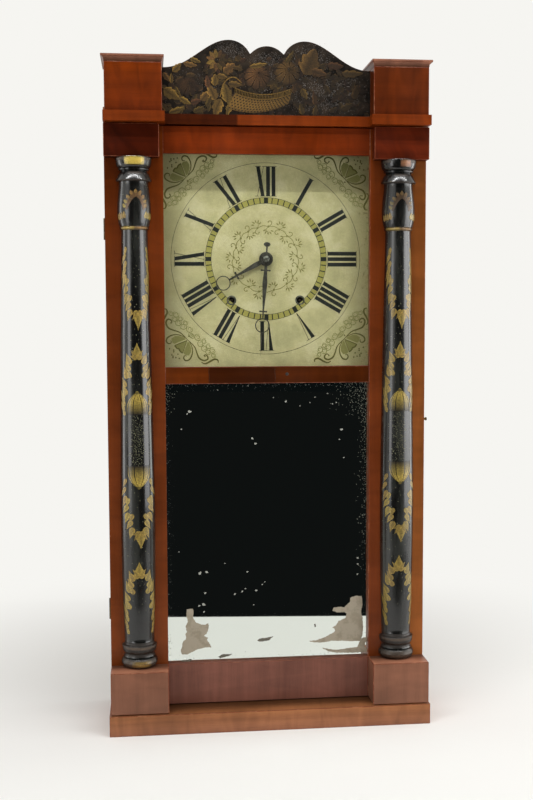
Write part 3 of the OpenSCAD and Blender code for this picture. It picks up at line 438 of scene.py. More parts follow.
@dataclass(frozen=True)
class BlackPaint:
    """Black japanned wood: near-black gloss with brown showing through worn specks, and dust."""

    name: str
    ground: str = "#0e0d0d"
    haze: str = "#37332e"
    haze_at: Pair = (0.5, 0.75)
    wear: str = "#3c2415"
    gloss: float = 0.3
    coat: float = 0.4
    along: float = 1 / 6
    shine: float = 0.5

    def material(self) -> Material:
        """Makes the material."""
        made, tree = new_material(self.name)
        cloud = clouds(tree, 22, 7.0, 0.65, millimetres(tree, (1, 1, self.along)))
        dusty = add(tree, "MapRange", [cloud, self.haze_at[0], self.haze_at[1]])
        base = add(tree, "Mix", {0: dusty, 6: self.ground, 7: self.haze}, out=2, data_type="RGBA")
        specks = clouds(tree, 2.2, 4.0, 0.7)
        worn = add(tree, "MapRange", [specks, 0.64, 0.7])
        colour = add(tree, "Mix", {0: worn, 6: base, 7: self.wear}, out=2, data_type="RGBA")
        rough = add(tree, "MapRange", [dusty, 0, 1, self.gloss, self.gloss + 0.3])
        return close(made, {"Base Color": colour, "Roughness": rough, "Coat Weight": self.coat,
            "Coat Roughness": 0.14, "Specular IOR Level": self.shine}, specks, 0.03)


@dataclass(frozen=True)
class BronzePowder:
    """Bronze powder rubbed through a stencil on to tacky black varnish.

    It gives the eye dull gold that fades to black inside each shape, rubbed away in specks. The
    mesh says how much powder lies at each point, and whether it is gold or copper.
    """

    name: str
    gold: str = "#b8a24a"
    copper: str = "#a8683a"
    ground: str = "#15110d"
    worn: float = 0.5
    coat: float = 0.2

    def material(self) -> Material:
        """Makes the material."""
        made, tree = new_material(self.name)
        powder = add(tree, "Attribute", out="Fac", attribute_name="powder")
        tint = add(tree, "Attribute", out="Fac", attribute_name="tint")
        metal = add(tree, "Mix", {0: tint, 6: self.gold, 7: self.copper}, out=2, data_type="RGBA")
        rubbed = clouds(tree, 1.6, 6.0, 0.75)
        kept = add(tree, "MapRange", [rubbed, self.worn - 0.14, self.worn + 0.12, 1.0, 0.35])
        left = fold(tree, "MULTIPLY", powder, kept)
        colour = add(tree, "Mix", {0: left, 6: self.ground, 7: metal}, out=2, data_type="RGBA")
        return close(made, {"Base Color": colour, "Roughness": 0.48, "Metallic": 0.25,
            "Coat Weight": self.coat, "Coat Roughness": 0.2}, rubbed, 0.02)


@dataclass(frozen=True)
class DialPaint:
    """Oil paint on a wooden dial: aged cream, mottled, with brown dirt and painted shade at the edges, and
    specks.
    """

    name: str = "dial_cream_oil_paint"
    cream: str = "#cfc39b"
    aged: str = "#c3b68a"
    green: str = "#b3a97f"
    # Colour of the dark marks: dirt, and painted shade near the right stile.
    grime_and_painted_light: str = "#6b5a35"
    # Edge brown: partly age, partly painted shade from the frame.
    rim: str = "#8c7f58"

    def material(self, box: Box) -> Material:
        """Makes the material for a dial that fills the box."""
        made, tree = new_material(self.name)
        mottle = clouds(tree, 34, 5.0, 0.6)
        base = add(tree, "ValToRGB", [mottle], out="Color", stops=[(0.34, self.green), (0.5, self.aged),
            (0.64, self.cream)])
        fine = clouds(tree, 2.6, 4.0)
        grain = add(tree, "MapRange", [fine, 0.3, 0.7, 0.93, 1.05])
        # Painted light: the board's top is lightened, to offset the shade under the door's top rail.
        clear = add(tree, "MapRange", [along_axis(tree, "Z"), box.high.z - 42 * MM, box.high.z - 18 * MM,
            1.0, 1.32])
        light = fold(tree, "MULTIPLY", grain, clear)
        toned = add(tree, "VectorMath", {0: base, "Scale": light}, operation="SCALE")
        # Towards the right edge the dark marks grow: partly dirt, partly painted shade from the right stile.
        near = add(tree, "MapRange", [along_axis(tree, "X"), box.high.x - 42 * MM, box.high.x - 12 * MM,
            0, 0.16])
        mark = fold(tree, "ADD", clouds(tree, 6, 6.0, 0.75), near)
        darkened = add(tree, "MapRange", [mark, 0.68, 0.8, 0, 0.75])
        clean = add(tree, "Mix", {0: self.browned_and_shaded(tree, box, mottle), 6: toned, 7: self.rim}, out=2,
            data_type="RGBA")
        colour = add(tree, "Mix", {0: darkened, 6: clean, 7: self.grime_and_painted_light}, out=2, data_type="RGBA")
        return close(made, {"Base Color": colour, "Roughness": 0.5, "Specular IOR Level": 0.35}, fine,
            0.03)

    def browned_and_shaded(self, tree: Tree, box: Box, mottle: Socket) -> Socket:
        """Gives how far the paint has gone brown, most at the board's edges: partly age, partly painted
        shade from the frame.
        """
        place = add(tree, "TexCoord", out="Object")
        middle = add(tree, "VectorMath", [place, box.centre], operation="SUBTRACT")
        share = add(tree, "VectorMath", [middle, (2 / box.size.x, 0, 1.5 / box.size.z)],
            operation="MULTIPLY")
        away = add(tree, "VectorMath", [share], operation="ABSOLUTE")
        most = fold(tree, "MAXIMUM", *(add(tree, "SeparateXYZ", [away], out=a) for a in "XZ"))
        level = fold(tree, "ADD", most, add(tree, "MapRange", [mottle, 0, 1, -0.1, 0.1]))
        return add(tree, "MapRange", [level, 0.72, 1.02, 0, 0.8])


@dataclass(frozen=True)
class Ink:
    """Thin brushed paint of one colour on the dial, worn through in small specks."""

    name: str
    paint: str
    ground: str = "#b5ad7e"
    worn_at: float = 0.66
    speck_mm: float = 1.8

    def material(self) -> Material:
        """Makes the material."""
        made, tree = new_material(self.name)
        specks = clouds(tree, self.speck_mm, 6.0, 0.7)
        worn = add(tree, "MapRange", [specks, self.worn_at, self.worn_at + 0.08])
        colour = add(tree, "Mix", {0: worn, 6: self.paint, 7: self.ground}, out=2, data_type="RGBA")
        return close(made, {"Base Color": colour, "Roughness": 0.5}, specks, 0.02)


@dataclass(frozen=True)
class SilveredGlass:
    """Tin-mercury looking glass: a true mirror whose silvering has gone in flecks at its edges."""

    name: str = "silvered_glass"
    silver: str = "#dfe4de"
    lost: str = "#5d5d50"
    bright: str = "#a3a598"

    def material(self, box: Box) -> Material:
        """Makes the material for a glass that fills the box."""
        made, tree = new_material(self.name)
        place = add(tree, "TexCoord", out="Object")
        middle = add(tree, "VectorMath", [place, box.centre], operation="SUBTRACT")
        away = add(tree, "VectorMath", [middle], operation="ABSOLUTE")
        edges = []
        for axis, reach_mm, long in (("X", 26.0, box.size.x), ("Z", 34.0, box.size.z)):
            far = add(tree, "SeparateXYZ", [away], out=axis)
            edges.append(add(tree, "MapRange", [far, long / 2 - reach_mm * MM, long / 2 - 5 * MM]))
        lift = add(tree, "MapRange", [fold(tree, "MAXIMUM", *edges), 0, 1, 0, 0.15])
        level = fold(tree, "ADD", clouds(tree, 2.4, 7.0, 0.8), lift)
        gone = add(tree, "MapRange", [level, 0.73, 0.78])
        tone = clouds(tree, 3, 3.0, at=millimetres(tree, shift=3))
        bare = add(tree, "ValToRGB", [tone], out="Color", stops=[(0.42, "#1d1c1b"), (0.52, self.lost),
            (0.66, self.bright)])
        colour = add(tree, "Mix", {0: gone, 6: self.silver, 7: bare}, out=2, data_type="RGBA")
        metal = fold(tree, "SUBTRACT", 1.0, gone)
        rough = add(tree, "MapRange", [gone, 0, 1, 0.015, 0.45])
        return close(made, {"Base Color": colour, "Metallic": metal, "Roughness": rough})


@dataclass(frozen=True)
class ClearGlass:
    """Old window glass: clear, faintly grey-green, with a slow ripple."""

    name: str = "clear_old_glass"

    def material(self) -> Material:
        """Makes the material; shadow rays pass straight through it."""
        made, tree = new_material(self.name)
        ripple = clouds(tree, 70)
        normal = add(tree, "Bump", {"Height": ripple, "Distance": 0.00005})
        glass = add(tree, "BsdfPrincipled", {"Base Color": "#f4f8f4", "Roughness": 0.0, "IOR": 1.5,
            "Transmission Weight": 1.0, "Normal": normal})
        clear = add(tree, "BsdfTransparent", {"Color": "#f4f8f4"})
        shadow = add(tree, "LightPath", out="Is Shadow Ray")
        mixed = add(tree, "MixShader", [shadow, glass, clear])
        add(tree, "OutputMaterial", {"Surface": mixed})
        return made


@dataclass(frozen=True)
class Fibre:
    """Laid gut or cotton cord: strands that wind round it, matt and a little greasy."""

    name: str = "twisted_cord"
    pale: str = "#a3906a"
    dark: str = "#5d4d33"

    def material(self) -> Material:
        """Makes the material; strand pitch is 1.6 mm."""
        made, tree = new_material(self.name)
        strands = add(tree, "TexWave", {"Vector": millimetres(tree, (1, 1, 0.6)),
            "Scale": 1 / (1.6 * pi), "Distortion": 0.6}, out="Fac", bands_direction="DIAGONAL")
        colour = add(tree, "ValToRGB", {"Fac": strands}, out="Color",
            stops=[(0.2, self.dark), (0.8, self.pale)])
        return close(made, {"Base Color": colour, "Roughness": 0.8}, strands, 0.15)


WORN_EDGE = WornEdge().material()
PINE = PlainWood("aged_pine", "#b48d5f", "#8f6a40", "#66492e").material()
CHERRY = PlainWood("oiled_cherry", "#a56a3c", "#8a5430", "#4a2a17", Grain.LEVEL, 2.2, 0.5).material()
BRASS = Metal("aged_brass", "#9a7a3c", "#4f4428", 0.38).material()
IRON = Metal("blackened_iron", "#4a443e", "#2b2523", 0.5, metallic=0.5).material()
STEEL = Metal("old_steel_wire", "#8b8680", "#5a544d", 0.34).material()
CORD = Fibre().material()


# ---------- pieces ----------


def round_corners(made: Thing, width_mm: float) -> None:
    """Rubs the sharp edges of a thing round, and gives them its second material."""
    bevel = made.modifiers.new("corners", "BEVEL")
    bevel.width = width_mm * MM
    bevel.segments = 2
    bevel.limit_method = "ANGLE"
    bevel.angle_limit = radians(40)
    bevel.material = 1


def dress(node: str, material: Material, edge: Edge = Edge.PLAIN, round_mm: float = 0.7) -> None:
    """Gives a CAD node its material and finishes its edges.

    Args:
        node: The CAD node's name.
        material: The material of its faces.
        edge: How its edges are finished.
        round_mm: Width of a rubbed corner.
    """
    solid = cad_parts[node]
    solid.data.materials.clear()
    solid.data.materials.append(material)
    if edge is Edge.PLAIN:
        return
    weld = solid.modifiers.new("weld", "WELD")
    weld.merge_threshold = 0.01 * MM
    if edge is Edge.CUT:
        solid.data.materials.append(WORN_EDGE)
        round_corners(solid, round_mm)
        return
    for face in solid.data.polygons:
        face.use_smooth = True
    split = solid.modifiers.new("creases", "EDGE_SPLIT")
    split.split_angle = radians(38)


def piece(name: str, mesh: Mesh, body: Body, slot: Slot, material: Material | None = None) -> Thing:
    """Puts a finished mesh in the scene and lets it ride.

    Args:
        name: The piece's name.
        mesh: Its mesh, already in place.
        body: The body that it moves with.
        slot: Not used.
        material: Its material, unless the mesh has one.

    Returns:
        The new object.
    """
    made = stand(name, mesh)
    if material is not None:
        mesh.materials.clear()
        mesh.materials.append(material)
    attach(made, body.value)
    log.info("%s: %d faces", name, len(mesh.polygons))
    return made


def smooth_line(points: Sequence[Pair], steps: int = 6) -> list[Pair]:
    """Draws a smooth line through points.

    Args:
        points: The points that the line passes through.
        steps: How many short pieces join two points.

    Returns:
        The points of the line.
    """
    line = []
    for i in range(len(points) - 1):
        around = [points[max(0, min(len(points) - 1, j))] for j in range(i - 1, i + 3)]
        for k in range(steps):
            t = k / steps
            weights = (-t + 2 * t * t - t**3, 2 - 5 * t * t + 3 * t**3, t + 4 * t * t - 3 * t**3,
                t**3 - t * t)
            line.append(tuple(sum(w * p[a] for w, p in zip(weights, around)) / 2 for a in (0, 1)))
    line.append(points[-1])
    return line


@dataclass
class Paint:
    """Thin shapes of paint, drawn flat and then laid on a surface.

    A point is drawn as (across, up) in millimetres, with the powder that lies on it
    and its tint.
    """

    points: list[Triple] = field(default_factory=list)
    coats: int = 0
    coat_mm: float = 0.0012
    faces: list[tuple[int, ...]] = field(default_factory=list)
    powder: list[float] = field(default_factory=list)
    tint: list[float] = field(default_factory=list)

    def lift(self) -> float:
        """Lays each new shape a little over the last, so that no two faces coincide."""
        self.coats += 1
        return self.coats * self.coat_mm

    def shape(self, outline: Sequence[Pair], powder: float = 1, tint: float = 0) -> None:
        """Adds a filled outline."""
        start, lift = len(self.points), self.lift()
        self.points += [(*p, lift) for p in outline]
        self.powder += [powder] * len(outline)
        self.tint += [tint] * len(outline)
        self.faces.append(tuple(range(start, start + len(outline))))

    def grid(self, rows: Sequence[Sequence[Pair]], powder: Sequence[Sequence[float]],
            tint: float = 0) -> None:
        """Adds rows of points joined by four-sided faces.

        Args:
            rows: The rows, all of one length.
            powder: Powder at each point, row by row.
            tint: Tint of the whole shape.
        """
        start, wide, lift = len(self.points), len(rows[0]), self.lift()
        for row, strengths in zip(rows, powder):
            self.points += [(*p, lift) for p in row]
            self.powder += list(strengths)
            self.tint += [tint] * wide
        for i in range(len(rows) - 1):
            for j in range(wide - 1):
                a = start + i * wide + j
                self.faces.append((a, a + 1, a + wide + 1, a + wide))

    def stroke(self, points: Sequence[Pair], width: float, taper: float = 0.35, steps: int = 6,
            powder: float = 1, tint: float = 0) -> None:
        """Adds a brush stroke along a smooth line.

        Args:
            points: Points that the stroke passes through.
            width: Its width at the middle.
            taper: Its width at each end, as a share of the middle's.
            steps: Short pieces between two points.
            powder: Strength of the stroke.
            tint: Tint of the stroke.
        """
        line = smooth_line(points, steps) if steps > 1 else list(points)
        rows = []
        for i, here in enumerate(line):
            back, ahead = line[max(0, i - 1)], line[min(len(line) - 1, i + 1)]
            run = (ahead[0] - back[0], ahead[1] - back[1])
            length = hypot(*run) or 1
            share = taper + (1 - taper) * sin(pi * i / (len(line) - 1))
            side = (-run[1] / length * width * share / 2, run[0] / length * width * share / 2)
            rows.append([(here[0] - side[0], here[1] - side[1]), (here[0] + side[0], here[1] + side[1])])
        self.grid(rows, [[powder] * 2] * len(rows), tint)

    def sheet(self, span: Sequence[float], steps: tuple[int, int], powder: Rule,
            tint: float = 0) -> None:
        """Adds an oblong whose powder follows a rule.

        Args:
            span: Its left, right, lower and upper end.
            steps: Faces across it and up it.
            powder: Gives the powder at a share of the way across and up.
            tint: Tint of the whole shape.
        """
        x0, x1, z0, z1 = span
        us, vs = ([i / n for i in range(n + 1)] for n in steps)
        self.grid([[(x0 + (x1 - x0) * u, z0 + (z1 - z0) * v) for u in us] for v in vs],
            [[powder(u, v) for u in us] for v in vs], tint)

    def leaf(self, foot: Pair, angle: float, length: float, width: float, rim: float = 1,
            core: float = 0.2, tint: float = 0, lobes: int = 0, bend: float = 0, wide: int = 6) -> None:
        """Adds a leaf whose powder lies thick at its rim and fades inside.

        Args:
            foot: The point that the leaf grows from.
            angle: Its direction in degrees, counterclockwise from across.
            length: Its length.
            width: Its greatest width.
            rim: Powder at its edge.
            core: Powder along its middle.
            tint: Gold at 0, copper at 1.
            lobes: Pairs of points that its edge breaks into.
            bend: How far its tip leans to the left, as a share of its length.
            wide: Faces across it.
        """
        turn, count = radians(angle), max(8, 6 * lobes)
        shares = [2 * j / wide - 1 for j in range(wide + 1)]
        rows = []
        for i in range(count + 1):
            t = i / count
            half = width / 2 * sin(pi * t**0.75) ** 0.8 if 0 < t < 1 else 0
            if lobes:
                half *= 0.72 + 0.4 * ((t * lobes) % 1)
            x, ys = t * length, [s * half + bend * length * t * t for s in shares]
            rows.append([swung(foot, turn, x, y) for y in ys])
        powder = [core + (rim * (0.65 + 0.35 * s) - core) * abs(s) ** 1.5 for s in shares]
        self.grid(rows, [powder] * len(rows), tint)

    def dot(self, foot: Pair, length: float, width: float, wide: int = 3) -> None:
        """Adds a dot of full paint that starts at its left end."""
        self.leaf(foot, 0, length, width, 1, 1, wide=wide)

    def blade(self, foot: Pair, angle: float, rows: Sequence[Triple], rim: float = 1, core: float = 0.7,
            tint: float = 0, wide: int = 8) -> None:
        """Adds a saw-edged leaf from a table of its edges.

        Args:
            foot: The point that it grows from.
            angle: Its direction in degrees, counterclockwise from across.
            rows: How far along it each row stands, and its right and left edge there.
            rim: Powder at its edge.
            core: Powder along its middle.
            tint: Gold at 0, copper at 1.
            wide: Faces across it.
        """
        turn = radians(angle)
        grid, strengths = [], []
        for x, right, left in rows:
            sides = [right + (left - right) * j / wide for j in range(wide + 1)]
            grid.append([swung(foot, turn, x, y) for y in sides])
            strengths.append([core + (rim - core) * abs(2 * j / wide - 1) for j in range(wide + 1)])
        self.grid(grid, strengths, tint)

    def mesh(self, name: str, place: Placing) -> Mesh:
        """Lays the shapes on a surface.

        Args:
            name: The mesh's name.
            place: Gives the place in the frame of a drawn point.

        Returns:
            A mesh whose faces look to the front, with its powder and tint.
        """
        spots = [place(*p) for p in self.points]
        faces = []
        for face in self.faces:
            ring = [spots[k] for k in face]
            area = sum(a.x * b.z - b.x * a.z for a, b in zip(ring, ring[1:] + ring[:1]))
            faces.append(face if area >= 0 else tuple(reversed(face)))
        made = new_mesh(name, spots, faces)
        for title, values in (("powder", self.powder), ("tint", self.tint)):
            made.attributes.new(title, "FLOAT", "POINT").data.foreach_set("value", values)
        made.validate()
        return made


def lay(name: str, paint: Paint, place: Placing, body: Body, slot: Slot, material: Material,
        thick_mm: float = 0.1) -> Thing:
    """Lays paint as a closed thin layer that rides on a body.

    Args:
        name: The piece's name.
        paint: The shapes.
        place: Gives the place in the frame of a drawn point, at the layer's face.
        body: The body that it moves with.
        slot: The record's slot.
        material: The paint's material.
        thick_mm: Thickness of the layer, which reaches into what it lies on.

    Returns:
        The piece.
    """
    made = piece(name, paint.mesh(name, place), body, slot, material)
    solid = made.modifiers.new("layer", "SOLIDIFY")
    solid.thickness = thick_mm * MM
    solid.offset = -1
    return made


def flat_at(x: float, y: float, z: float) -> Placing:
    """Gives a function that places a drawing in millimetres on an upright plane."""
    return lambda across, up, lift: Vector((x + across * MM, y - lift * MM, z + up * MM))


# ---------- repeated pieces, by Geometry Nodes ----------


def recipe(name: str, inputs: Sequence[tuple[str, str, object]]) -> tuple[Tree, dict[str, Socket]]:
    """Starts a Geometry Nodes tree.

    Args:
        name: The tree's name.
        inputs: Name, kind of socket and value of each input.

    Returns:
        The tree, with its inputs and one Geometry output, and what each input gives.
    """
    tree = bpy.data.node_groups.new(name, "GeometryNodeTree")
    tree.interface.new_socket("Geometry", in_out="OUTPUT", socket_type="NodeSocketGeometry")
    for title, kind, value in inputs:
        made = tree.interface.new_socket(title, in_out="INPUT", socket_type=f"NodeSocket{kind}")
        if value is not None:
            made.default_value = value
    return tree, {title: add(tree, "NodeGroupInput", out=title) for title, _, _ in inputs}


def serve(tree: Tree, shapes: Socket, material: Material) -> None:
    """Ends a tree with Realize Instances and Set Material."""
    real = add(tree, "GeometryNodeRealizeInstances", [shapes])
    painted = add(tree, "GeometryNodeSetMaterial", {"Geometry": real, "Material": material})
    add(tree, "NodeGroupOutput", [painted])


def cook(tree: Tree, values: dict[str, object], base: Mesh | None = None) -> Mesh:
    """Runs a tree once and keeps the plain mesh.

    Args:
        tree: The Geometry Nodes tree.
        values: Its inputs, by name.
        base: The mesh that it works on, if it has one.

    Returns:
        The finished mesh.
    """
    host = stand(tree.name, base or bpy.data.meshes.new(tree.name))
    modifier = host.modifiers.new("recipe", "NODES")
    modifier.node_group = tree
    for item in tree.interface.items_tree:
        if item.in_out == "INPUT" and item.name in values:
            modifier[item.identifier] = values[item.name]
    bpy.context.view_layer.update()
    result = bpy.data.meshes.new_from_object(host.evaluated_get(bpy.context.evaluated_depsgraph_get()))
    bpy.data.objects.remove(host)
    return result


def ring_of_marks(material: Material) -> Tree:
    """A tree that stands oblong marks round a circle that faces the front."""
    tree, ask = recipe("ring_of_marks", [("Count", "Int", 60), ("Radius", "Float", 0.07),
        ("Mark", "Vector", (0.001, 0.001, 0.0001)), ("Centre", "Vector", (0, 0, 0))])
    circle = add(tree, "GeometryNodeMeshCircle", [ask["Count"], ask["Radius"]])
    spot = add(tree, "GeometryNodeInputPosition")
    turn = add(tree, "FunctionNodeAlignRotationToVector", {"Vector": spot}, axis="X", pivot_axis="Z")
    mark = add(tree, "GeometryNodeMeshCube", {"Size": ask["Mark"]})
    marks = add(tree, "GeometryNodeInstanceOnPoints",
        {"Points": circle, "Instance": mark, "Rotation": turn})
    stood = add(tree, "GeometryNodeTransform", {"Geometry": marks, "Translation": ask["Centre"],
        "Rotation": (radians(90), 0, 0)})
    serve(tree, stood, material)
    return tree


def row_of_heads(material: Material) -> Tree:
    """A tree that sets a row of low domed heads, as of nails, along a line on a plane."""
    tree, ask = recipe("row_of_heads", [("Count", "Int", 5), ("Start", "Vector", (0, 0, 0)),
        ("End", "Vector", (0, 0, 1)), ("Radius", "Float", 0.002), ("Squash", "Vector", (1, 0.3, 1)),
        ("Seed", "Int", 1)])
    line = add(tree, "GeometryNodeMeshLine", {"Count": ask["Count"], "Start Location": ask["Start"],
        "Offset": ask["End"]}, mode="END_POINTS")
    stray = add(tree, "FunctionNodeRandomValue",
        {"Min": (-0.0012, 0, -0.0012), "Max": (0.0012, 0, 0.0012), "Seed": ask["Seed"]}, out="Value",
        data_type="FLOAT_VECTOR")
    moved = add(tree, "GeometryNodeSetPosition", {"Geometry": line, "Offset": stray})
    dome = add(tree, "GeometryNodeMeshUVSphere", [12, 6, ask["Radius"]])
    heads = add(tree, "GeometryNodeInstanceOnPoints",
        {"Points": moved, "Instance": dome, "Scale": ask["Squash"]})
    serve(tree, heads, material)
    return tree


def scattered_flecks(material: Material) -> Tree:
    """A tree that strews small flat flecks over a sheet that faces the front."""
    tree, ask = recipe("scattered_flecks", [("Sheet", "Geometry", None), ("Density", "Float", 10000.0),
        ("Least", "Float", 0.0002), ("Most", "Float", 0.0008), ("Seed", "Int", 1)])
    quarter = pi / 2
    much = add(tree, "GeometryNodeInputNamedAttribute", {"Name": "powder"}, data_type="FLOAT")
    dense = fold(tree, "MULTIPLY", much, ask["Density"])
    spots = add(tree, "GeometryNodeDistributePointsOnFaces",
        {"Mesh": ask["Sheet"], "Density": dense, "Seed": ask["Seed"]})
    size = add(tree, "FunctionNodeRandomValue", {2: ask["Least"], 3: ask["Most"], "Seed": ask["Seed"]},
        out=1)
    turn = add(tree, "FunctionNodeRandomValue",
        {"Min": (quarter, 0, 0), "Max": (quarter, 4 * quarter, 0), "Seed": ask["Seed"]}, out="Value",
        data_type="FLOAT_VECTOR")
    fleck = add(tree, "GeometryNodeMeshCylinder", {"Vertices": 5, "Radius": 1.0, "Depth": 0.12},
        fill_type="NGON")
    flecks = add(tree, "GeometryNodeInstanceOnPoints",
        {"Points": spots, "Instance": fleck, "Rotation": turn, "Scale": size})
    serve(tree, flecks, material)
    return tree


# ---------- meshes made in code ----------


def skin(rings: Sequence[Sequence[Vector]], spots: list, faces: list, capped: bool = True) -> None:
    """Joins rings of points into a closed wall.

    Args:
        rings: The rings, all of one length, from the foot up.
        spots: Gets the points.
        faces: Gets the faces.
        capped: Whether the first and the last ring are closed too.
    """
    start, around = len(spots), len(rings[0])
    for ring in rings:
        spots.extend(ring)
    for i in range(len(rings) - 1):
        for k in range(around):
            a, b = start + i * around + k, start + i * around + (k + 1) % around
            faces.append((a, b, b + around, a + around))
    if capped:
        faces.append(tuple(start + k for k in reversed(range(around))))
        faces.append(tuple(len(spots) - around + k for k in range(around)))


def lathe(name: str, outline_mm: Sequence[Pair], centre: Vector, steps: int = 40) -> Mesh:
    """Turns an outline round an axis that runs front to back.

    Args:
        name: The mesh's name.
        outline_mm: Points as (radius, depth) in millimetres, in order from front to back.
        centre: A point of the axis; depth counts from it.
        steps: Faces round the axis.

    Returns:
        A closed mesh whose faces point outwards.
    """
    angles = [2 * pi * k / steps for k in range(steps)]
    spots, faces = [], []
    skin([[centre + Vector((r * MM * sin(a), y * MM, r * MM * cos(a))) for a in angles] for r,
        y in outline_mm], spots, faces, False)
    made = new_mesh(name, spots, faces)
    make_solid(made)
    for face in made.polygons:
        face.use_smooth = True
    return made


def make_solid(mesh: Mesh) -> None:
    """Merges doubles and turns the faces outwards."""
    work = bmesh.new()
    work.from_mesh(mesh)
    bmesh.ops.remove_doubles(work, verts=work.verts, dist=1e-7)
    loose = [e for e in work.edges if e.is_boundary]
    if loose:
        bmesh.ops.holes_fill(work, edges=loose)
    bmesh.ops.recalc_face_normals(work, faces=work.faces)
    work.to_mesh(mesh)
    work.free()


def tube(name: str, points: Sequence[Vector], radius: float, sides: int = 12) -> Mesh:
    """Makes a closed round bar along points that run upwards."""
    angles = [2 * pi * k / sides for k in range(sides)]
    spots, faces = [], []
    skin([[p + Vector((radius * cos(a), radius * sin(a), 0)) for a in angles] for p in points], spots,
        faces)
    made = new_mesh(name, spots, faces)
    for face in made.polygons:
        face.use_smooth = len(face.vertices) == 4
    return made


# ---------- the clock's sub-assemblies ----------


@dataclass
class Case:
    """The pine box, its veneered sides and its proud base rails."""

    # The base front's pale greyish colours carry a painted reflection of the pale floor.
    base_front: Veneer = Veneer("base_front_veneer", "#8d5a38", "#885a42", Grain.LEVEL, 3, 12, 0.15,
        upper=0.5)
    base_side: Veneer = Veneer("base_side_veneer", "#7a4122", "#7a4526", Grain.DEPTH, 4, 8, 0.2,
        upper=0.5)
    side: Veneer = Veneer("case_side_veneer", "#6d3216", "#744022", Grain.UPRIGHT, 5, 12, 0.25)
    nail_radius: float = 2.0
    nail_sink: float = 0.35

    def build(self) -> None:
        """Dresses the box and nails its back on."""
        for node, finish in (("base_front_rail", self.base_front), ("base_side_rails", self.base_side),
                ("case_left_side", self.side), ("case_right_side", self.side)):
            dress(node, finish.material(Box.of(node)), Edge.CUT)
        for node in ("case_bottom_board", "dial_rails", "movement_rails"):
            dress(node, PINE, Edge.CUT, 0.4)
        dress("backboard", PINE)
        self.nail_the_back()

    def nail_the_back(self) -> None:
        """Drives rows of nails through the backboard into the sides and the bottom."""
        board, inset, indent = Box.of("backboard"), 7 * MM, 90 * MM
        west, east = board.low.x + inset, board.high.x - inset
        foot, top = board.low.z + inset, board.high.z - inset
        tree = row_of_heads(IRON)
        rows = ((7, west, foot, west, top), (7, east, foot, east, top),
            (3, board.low.x + indent, foot, board.high.x - indent, foot))
        for i, (count, x0, z0, x1, z1) in enumerate(rows, 1):
            mesh = cook(tree, {"Count": count, "Start": (x0, board.high.y, z0),
                "End": (x1, board.high.y, z1), "Radius": self.nail_radius * MM,
                "Squash": (1.0, self.nail_sink, 1.0), "Seed": i})
            piece(f"backboard_nails_{i}", mesh, Body.CASE, Slot.IRON)


@dataclass
class Cornice:
    """The top plate with its towers, their caps, the splat between them and the pulley covers."""

    plate: Veneer = Veneer("cornice_veneer", "#702c05", "#702c05", Grain.LEVEL, 6, 12, 0.2,
        spans=((-128, -38, 0.29), (-38, 128, 1.05), (128, 205, 0.9)))
    tower_left: Veneer = Veneer("left_tower_veneer", "#6b2901", "#602201", Grain.LEVEL, 7, 16, 0.22)
    tower_right: Veneer = Veneer("right_tower_veneer", "#562205", "#551f02", Grain.LEVEL, 8, 14, 0.25)
    cap: Veneer = Veneer("cap_veneer", "#8a5d4a", "#4d2e1f", Grain.LEVEL, 9, 6, 0.2)
    cap_steps: int = 7

    def build(self) -> None:
        """Dresses the cornice and lays the splat's stencil."""
        for node, finish in (("cornice_plate", self.plate), ("tower_block_left", self.tower_left),
                ("tower_block_right", self.tower_right)):
            dress(node, finish.material(Box.of(node)), Edge.CUT)
        dress("pulley_covers", CHERRY, Edge.CUT, 0.4)
        black = BlackPaint("splat_black", "#14110e", "#33291f", (0.4, 0.7), "#4a2f1c", 0.42, 0, 1, 0.15)
        dress("splat", black.material(), Edge.CUT, 0.5)
        self.carve_caps()
        SplatStencil().build()

    def carve_caps(self) -> None:
        """Makes each tower's cap as a hollow moulding under a thin square plate."""
        whole, inner = Box.of("tower_caps"), 0.7
        spots, faces = [], []
        for node in ("tower_block_left", "tower_block_right"):
            block = Box.of(node)
            left = node.endswith("left")
            lip = block.low.x - whole.low.x if left else whole.high.x - block.high.x
            rings = []
            for z, out in self.cap_rings(block.high.z, whole.high.z, lip):
                west = block.low.x - out * (1.0 if left else inner)
                east = block.high.x + out * (inner if left else 1.0)
                front = block.low.y - out * (block.low.y - whole.low.y) / lip
                rear = block.high.y + out * (whole.high.y - block.high.y) / lip
                corners = ((west, front), (east, front), (east, rear), (west, rear))
                rings.append([Vector((x, y, z)) for x, y in corners])
            skin(rings, spots, faces)
        mesh = new_mesh("tower_cap_mouldings", spots, faces)
        made = piece(mesh.name, mesh, Body.CASE, Slot.VENEER, self.cap.material(whole))
        mesh.materials.append(WORN_EDGE)
        round_corners(made, 0.4)
        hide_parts("tower_caps")

    def cap_rings(self, foot: float, top: float, lip: float) -> list[Pair]:
        """Gives the cap's outline as heights and how far it stands out there.

        Args:
            foot: Height of the cap's underside.
            top: Height of its upper side.
            lip: How far its plate stands out.

        Returns:
            Pairs of height and overhang, from the foot up.
        """
        plate, bead, fillet = 2.6 * MM, 1.2 * MM, 0.2 * MM
        hollow = top - plate - foot - bead
        rings = [(foot, 0.0)]
        for i in range(self.cap_steps + 1):
            a = pi / 2 * i / self.cap_steps
            rings.append((foot + bead + hollow * sin(a), lip * 0.75 * (1 - cos(a)) + fillet))
        rings += [(top - plate, lip), (top, lip)]
        return rings


